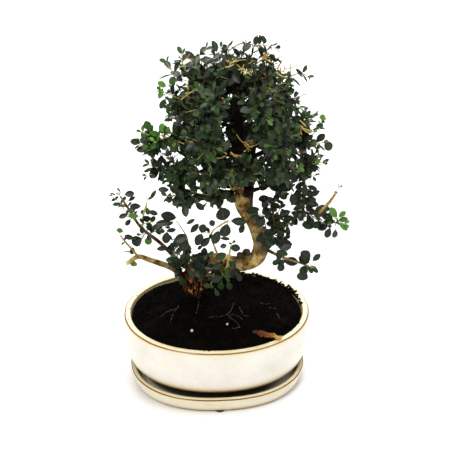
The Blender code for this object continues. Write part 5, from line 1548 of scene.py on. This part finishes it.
# %% Leaves placed one by one
# Each leaf: middle in cm, turn in degrees (0 points right, 90 up), length in cm as it looks from the
# front, width as a share of the length, youth (below 0 is greyer than usual).
SINGLE_LEAVES = {
    "crown_edge": [
        (-3.0, -3.0, 17.2, 260, 1.5, 0.50, -1), (-2.2, -3.0, 16.9, 265, 1.4, 0.40, 0),
        (-0.6, -3.0, 16.8, 265, 1.6, 0.75, 0), (-3.6, -3.0, 18.3, 175, 1.4, 0.50, 0),
        (0.6, -3.0, 17.2, 330, 1.4, 0.60, 0), (1.6, -3.0, 17.1, 350, 1.4, 0.60, 0),
        (3.2, -2.4, 16.9, 26, 1.3, 0.25, -0.6), (4.7, -2.6, 16.6, -30, 1.7, 0.55, -0.6),
        (7.9, -1.3, 37.6, 80, 1.2, 0.55, -0.3), (16.3, -2.0, 27.6, 80, 0.8, 0.85, 0.7),
        (16.5, -2.0, 27.4, 10, 0.6, 0.60, 0.6), (12.9, -3.0, 16.6, 285, 1.6, 0.60, 0),
        (14.4, -3.0, 18.0, 250, 1.4, 0.50, 0), (15.9, -3.0, 17.3, 200, 1.4, 0.50, 0),
        (17.0, -3.0, 24.3, -60, 1.5, 0.70, -0.5), (16.0, -3.0, 25.2, 40, 1.4, 0.60, 0),
        (9.3, -2.6, 18.2, 200, 1.4, 0.60, 0), (10.3, -2.6, 18.2, 30, 1.4, 0.60, 0),
        (11.5, -2.6, 17.2, 300, 1.8, 0.60, 0), (10.8, -2.6, 16.6, 262, 1.3, 0.60, 0),
        (9.3, -2.6, 16.4, 190, 1.4, 0.60, 0), (10.0, -2.6, 16.2, 300, 1.3, 0.60, 0),
        (10.8, -2.4, 17.8, 160, 1.5, 0.60, 0), (12.4, -2.6, 18.0, 200, 1.5, 0.60, 0),
        (-5.4, -3.0, 27.4, 110, 1.3, 0.70, 0.4), (-3.8, -3.0, 27.2, 60, 1.3, 0.50, 0.9),
        (-4.4, -3.1, 26.4, 160, 1.5, 0.45, 0.8), (-6.9, -3.0, 25.3, 170, 1.3, 0.60, 0.1),
        (-6.0, -3.0, 24.3, 185, 1.6, 0.50, 0), (-4.8, -3.0, 23.8, 200, 1.5, 0.50, -0.2),
        (-3.6, -3.0, 32.0, 250, 1.5, 0.40, 0.9), (-3.4, -3.0, 33.0, 150, 1.2, 0.60, 0.6),
        (-2.3, -3.0, 33.4, 60, 1.3, 0.60, 0.5), (-3.4, -3.0, 30.6, 240, 1.4, 0.50, 0.2)],
    "left_upper": [
        (-8.4, -0.5, 16.3, 10, 1.3, 0.62, 0), (-8.1, -0.5, 15.5, 38, 1.1, 0.40, 0),
        (-9.9, 0.0, 14.5, 185, 1.1, 0.45, 0), (-7.4, -1.0, 14.7, 174, 1.5, 0.52, 0),
        (-5.4, -1.0, 13.7, -16, 1.3, 0.50, 0), (-7.7, -1.0, 13.2, 176, 1.4, 0.50, 0.5),
        (-9.1, 0.0, 12.7, 200, 1.3, 0.50, 0), (-8.6, 0.0, 11.7, 228, 1.1, 0.55, 0),
        (-6.1, -1.0, 12.6, 100, 1.3, 0.75, 0), (-5.3, -0.3, 15.8, 60, 1.7, 0.28, 0),
        (-6.0, -0.5, 13.7, 280, 1.1, 0.55, 0.3), (-7.9, -0.3, 13.9, 200, 1.1, 0.5, 0.1),
        (-9.6, 0.0, 16.6, 120, 0.8, 0.3, -1), (-10.3, 0.0, 16.0, 150, 0.7, 0.3, -1)],
    "left_lower": [
        (-3.2, -1.0, 11.8, 40, 1.2, 0.35, 0), (-3.1, -1.0, 10.8, 10, 1.3, 0.45, 0),
        (-3.6, -1.0, 9.9, 262, 1.8, 0.58, -0.3), (-6.0, -0.6, 9.1, 246, 1.4, 0.68, 0.55),
        (-7.4, -2.0, 10.0, 205, 1.5, 0.90, 0), (-8.4, -2.0, 10.5, 160, 1.3, 0.50, 0),
        (-9.6, -2.0, 11.6, 150, 1.0, 0.60, 0.6), (-5.1, -0.8, 11.2, 30, 1.4, 0.50, 0),
        (-4.6, -0.8, 10.8, -20, 1.4, 0.50, 0), (-5.6, -0.8, 11.0, 150, 1.3, 0.50, 0),
        (-6.8, -1.0, 10.8, 92, 1.1, 0.60, 0), (-4.0, -1.2, 8.1, 184, 1.6, 0.40, 0),
        (-3.1, -1.2, 8.4, 22, 1.2, 0.45, 0), (-8.1, -2.0, 6.4, 272, 1.0, 0.85, 0.55),
        (-8.2, -2.0, 8.5, 262, 1.1, 0.60, 0)],
    "stump": [
        (-3.0, -2.5, 13.9, 164, 2.1, 0.55, 0), (-3.7, -2.7, 13.1, 184, 2.1, 0.40, -0.2),
        (-0.5, -2.4, 12.9, 36, 1.3, 0.38, -0.2), (0.0, -2.3, 11.7, 50, 1.6, 0.45, 0),
        (1.2, -2.5, 11.8, 75, 1.7, 0.62, 0), (0.6, -2.4, 9.9, 66, 2.0, 0.56, -0.2),
        (1.7, -2.4, 9.9, 226, 1.7, 0.52, 0), (0.9, -2.3, 8.9, 220, 0.9, 0.50, 0),
        (-1.5, -2.2, 10.4, 200, 1.8, 0.62, 0), (-1.2, -2.0, 9.3, 248, 1.9, 0.70, 0),
        (-1.0, -2.0, 8.2, 282, 1.7, 0.62, 0), (-2.4, -2.4, 6.6, 286, 2.0, 0.56, -0.1),
        (-3.0, -2.0, 6.7, 250, 1.5, 0.60, 0), (-1.4, -2.2, 7.3, 262, 1.6, 0.60, 0.1),
        (1.0, -2.6, 7.5, -28, 2.2, 0.60, 0), (0.6, -2.7, 6.7, -60, 1.7, 0.60, 0),
        (1.1, -2.9, 5.5, 270, 1.8, 0.50, 0), (-1.8, -2.6, 3.7, 300, 1.5, 0.50, -0.1),
        (3.7, -3.2, 8.0, 202, 1.6, 0.60, -0.3), (3.2, -3.5, 6.6, 200, 1.4, 0.60, 0),
        (5.0, -3.5, 6.9, -42, 1.3, 0.60, 0), (5.4, -3.8, 5.8, -70, 1.8, 0.70, 0),
        (4.4, -3.9, 5.7, -60, 1.5, 0.60, 0.2), (3.1, -4.2, 5.0, 200, 1.5, 0.60, 0),
        (3.5, -4.4, 4.0, 262, 1.4, 0.60, 0.1), (4.6, -4.3, 3.9, 290, 1.3, 0.60, -0.5),
        (1.8, -4.4, 4.0, 160, 1.1, 0.55, -0.4), (2.9, -4.6, 3.1, 292, 1.1, 0.50, -1),
        (5.9, -3.9, 5.0, -60, 1.3, 0.60, 0)],
    "middle": [
        (3.9, -3.1, 14.2, 100, 2.0, 0.90, 0), (5.7, -3.1, 13.3, -4, 2.0, 0.52, 0),
        (4.2, -3.1, 12.2, 255, 2.1, 0.66, 0), (3.0, -3.3, 11.2, 250, 2.0, 0.56, -0.3),
        (6.4, -3.1, 12.3, 248, 1.4, 0.52, 0), (4.0, -3.0, 10.6, -8, 1.3, 0.35, 0),
        (2.5, -2.8, 12.8, 110, 1.0, 0.75, 0), (3.8, -2.9, 9.3, 20, 0.9, 0.70, 0),
        (5.3, -3.3, 9.3, -10, 1.4, 0.66, -0.3)],
    "bend": [
        (8.0, -2.5, 14.6, 184, 1.8, 0.50, 0), (9.4, -2.5, 15.2, 110, 1.5, 0.60, 0),
        (8.3, -2.6, 13.5, 190, 1.6, 0.50, 0), (8.9, -2.7, 13.1, 252, 1.8, 0.66, -0.2),
        (10.0, -2.6, 13.4, 92, 1.4, 0.50, 0), (9.8, -2.5, 14.4, 200, 1.5, 0.60, 0),
        (10.4, -2.5, 15.0, 290, 1.4, 0.55, 0), (10.9, -2.7, 12.1, 4, 2.0, 0.62, -0.1),
        (12.5, -2.7, 11.3, 272, 1.8, 0.32, 0), (10.1, -2.9, 11.2, 200, 1.8, 0.70, -0.2),
        (9.2, -2.7, 10.4, 200, 1.7, 0.60, 0), (10.5, -3.0, 10.0, 172, 1.8, 0.70, -0.5),
        (11.4, -3.0, 10.8, 60, 1.5, 0.60, 0), (12.2, -3.0, 10.5, 20, 1.0, 0.50, 0),
        (11.8, -3.2, 9.4, 15, 2.0, 0.75, 0), (11.5, -3.1, 10.0, -40, 1.6, 0.70, 0),
        (9.8, -3.0, 9.1, 190, 1.6, 0.50, 0), (11.2, -3.8, 8.4, 292, 1.4, 0.60, -0.4),
        (11.6, -3.8, 8.7, -22, 1.5, 0.50, 0.1), (10.9, -4.0, 7.3, 222, 1.1, 0.60, 0),
        (11.7, -4.0, 7.3, 200, 1.2, 0.60, 0), (11.6, -4.1, 6.7, 252, 1.4, 0.66, 0),
        (12.6, -4.2, 7.5, -8, 2.0, 0.55, 0)],
    "low_right": [
        (14.8, -5.0, 8.7, 128, 1.9, 0.70, 0), (14.6, -5.1, 8.2, 150, 1.7, 0.70, 0),
        (16.0, -5.0, 8.4, 52, 1.4, 0.50, 0), (15.8, -5.0, 6.8, -50, 1.5, 0.38, -0.3),
        (14.4, -5.1, 5.9, 250, 1.6, 0.88, -0.1), (14.6, -5.1, 6.8, 235, 1.5, 0.70, 0),
        (15.3, -5.1, 6.8, -60, 1.2, 0.50, 0)],
    "hanging": [
        (15.8, -2.3, 15.2, 152, 2.0, 0.42, 0), (17.0, -2.5, 14.7, -20, 1.6, 0.50, -0.2),
        (13.4, -2.2, 15.4, 202, 1.2, 0.35, 0), (12.3, -2.2, 13.9, 190, 1.3, 0.60, 0),
        (12.6, -2.2, 13.0, 215, 1.5, 0.60, 0), (13.2, -2.3, 12.8, 300, 1.4, 0.60, 0),
        (12.2, -2.2, 12.3, 230, 1.3, 0.60, 0), (14.2, -2.3, 13.4, 262, 1.4, 0.55, 0),
        (15.4, -2.5, 12.0, 168, 1.9, 0.58, 0), (16.6, -2.8, 13.9, 20, 1.5, 0.55, 0),
        (17.8, -3.0, 11.2, 250, 1.4, 0.60, 0), (18.7, -3.0, 11.0, 266, 1.4, 0.50, -0.2),
        (18.4, -3.1, 14.1, 122, 2.0, 0.45, 0.75), (19.4, -3.1, 13.9, 52, 1.3, 0.50, 0.7),
        (18.0, -3.1, 12.8, 172, 1.6, 0.38, 0.65), (19.5, -3.1, 13.1, 20, 1.3, 0.50, 0.3),
        (19.6, -3.1, 12.2, -42, 1.6, 0.45, 0.6), (17.7, -3.0, 13.4, 140, 2.0, 0.42, 0),
        (17.2, -2.9, 12.0, 200, 1.5, 0.60, 0), (16.4, -2.8, 12.4, 220, 1.4, 0.60, 0)]
        + [(13.9, -2.3, 13.9 + 0.85 * row, 196 + 5 * row, 1.5, 0.42, 0) for row in range(6)]
        + [(15.3, -2.3, 14.3 + 0.85 * row, -20, 1.4, 0.42, 0) for row in range(5)],
}
for spray, leaves in SINGLE_LEAVES.items():
    chance = random.Random("single " + spray)
    for x, y, z, turn, length, wide, youth in leaves:
        heading = math.radians(turn)
        toward = Vector((math.cos(heading), chance.uniform(-0.25, 0.05), math.sin(heading)))
        base = Vector((x, y, z)) - toward.normalized() * length / 2
        face = Vector((chance.uniform(-0.1, 0.2), -0.8, 0.6))
        fold = chance.uniform(0.05, 0.25)
        droop = chance.uniform(-0.06, 0.14)
        tone = chance.uniform(0.0, 0.8) - min(0.0, youth)
        put_leaf(low_heaps[spray], on_tree(base), toward, face, length * SINGLE_LEAF_GROWTH * CM,
                 wide, fold, droop, tone, max(0.0, youth))

for spray, (nodes, _) in LOW_SPRAYS.items():
    make_piece("low_leaves_" + spray, low_heaps[spray], LEAF_SKINS, nodes, 50.0)
make_piece("low_twigs", low_twigs, [twig_bark], sharp=60.0)

# %% [markdown]
# ## Sizes
#
# The box of the looks is compared with the CAD box, and how far it stands past is printed.

# %% Compare the sizes
LOOK_LOW, LOOK_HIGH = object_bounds()
past = [round(max(CAD_LOW[i] - LOOK_LOW[i], LOOK_HIGH[i] - CAD_HIGH[i]) * 1000, 1) for i in range(3)]
print("stands past the CAD box by", past, "mm")
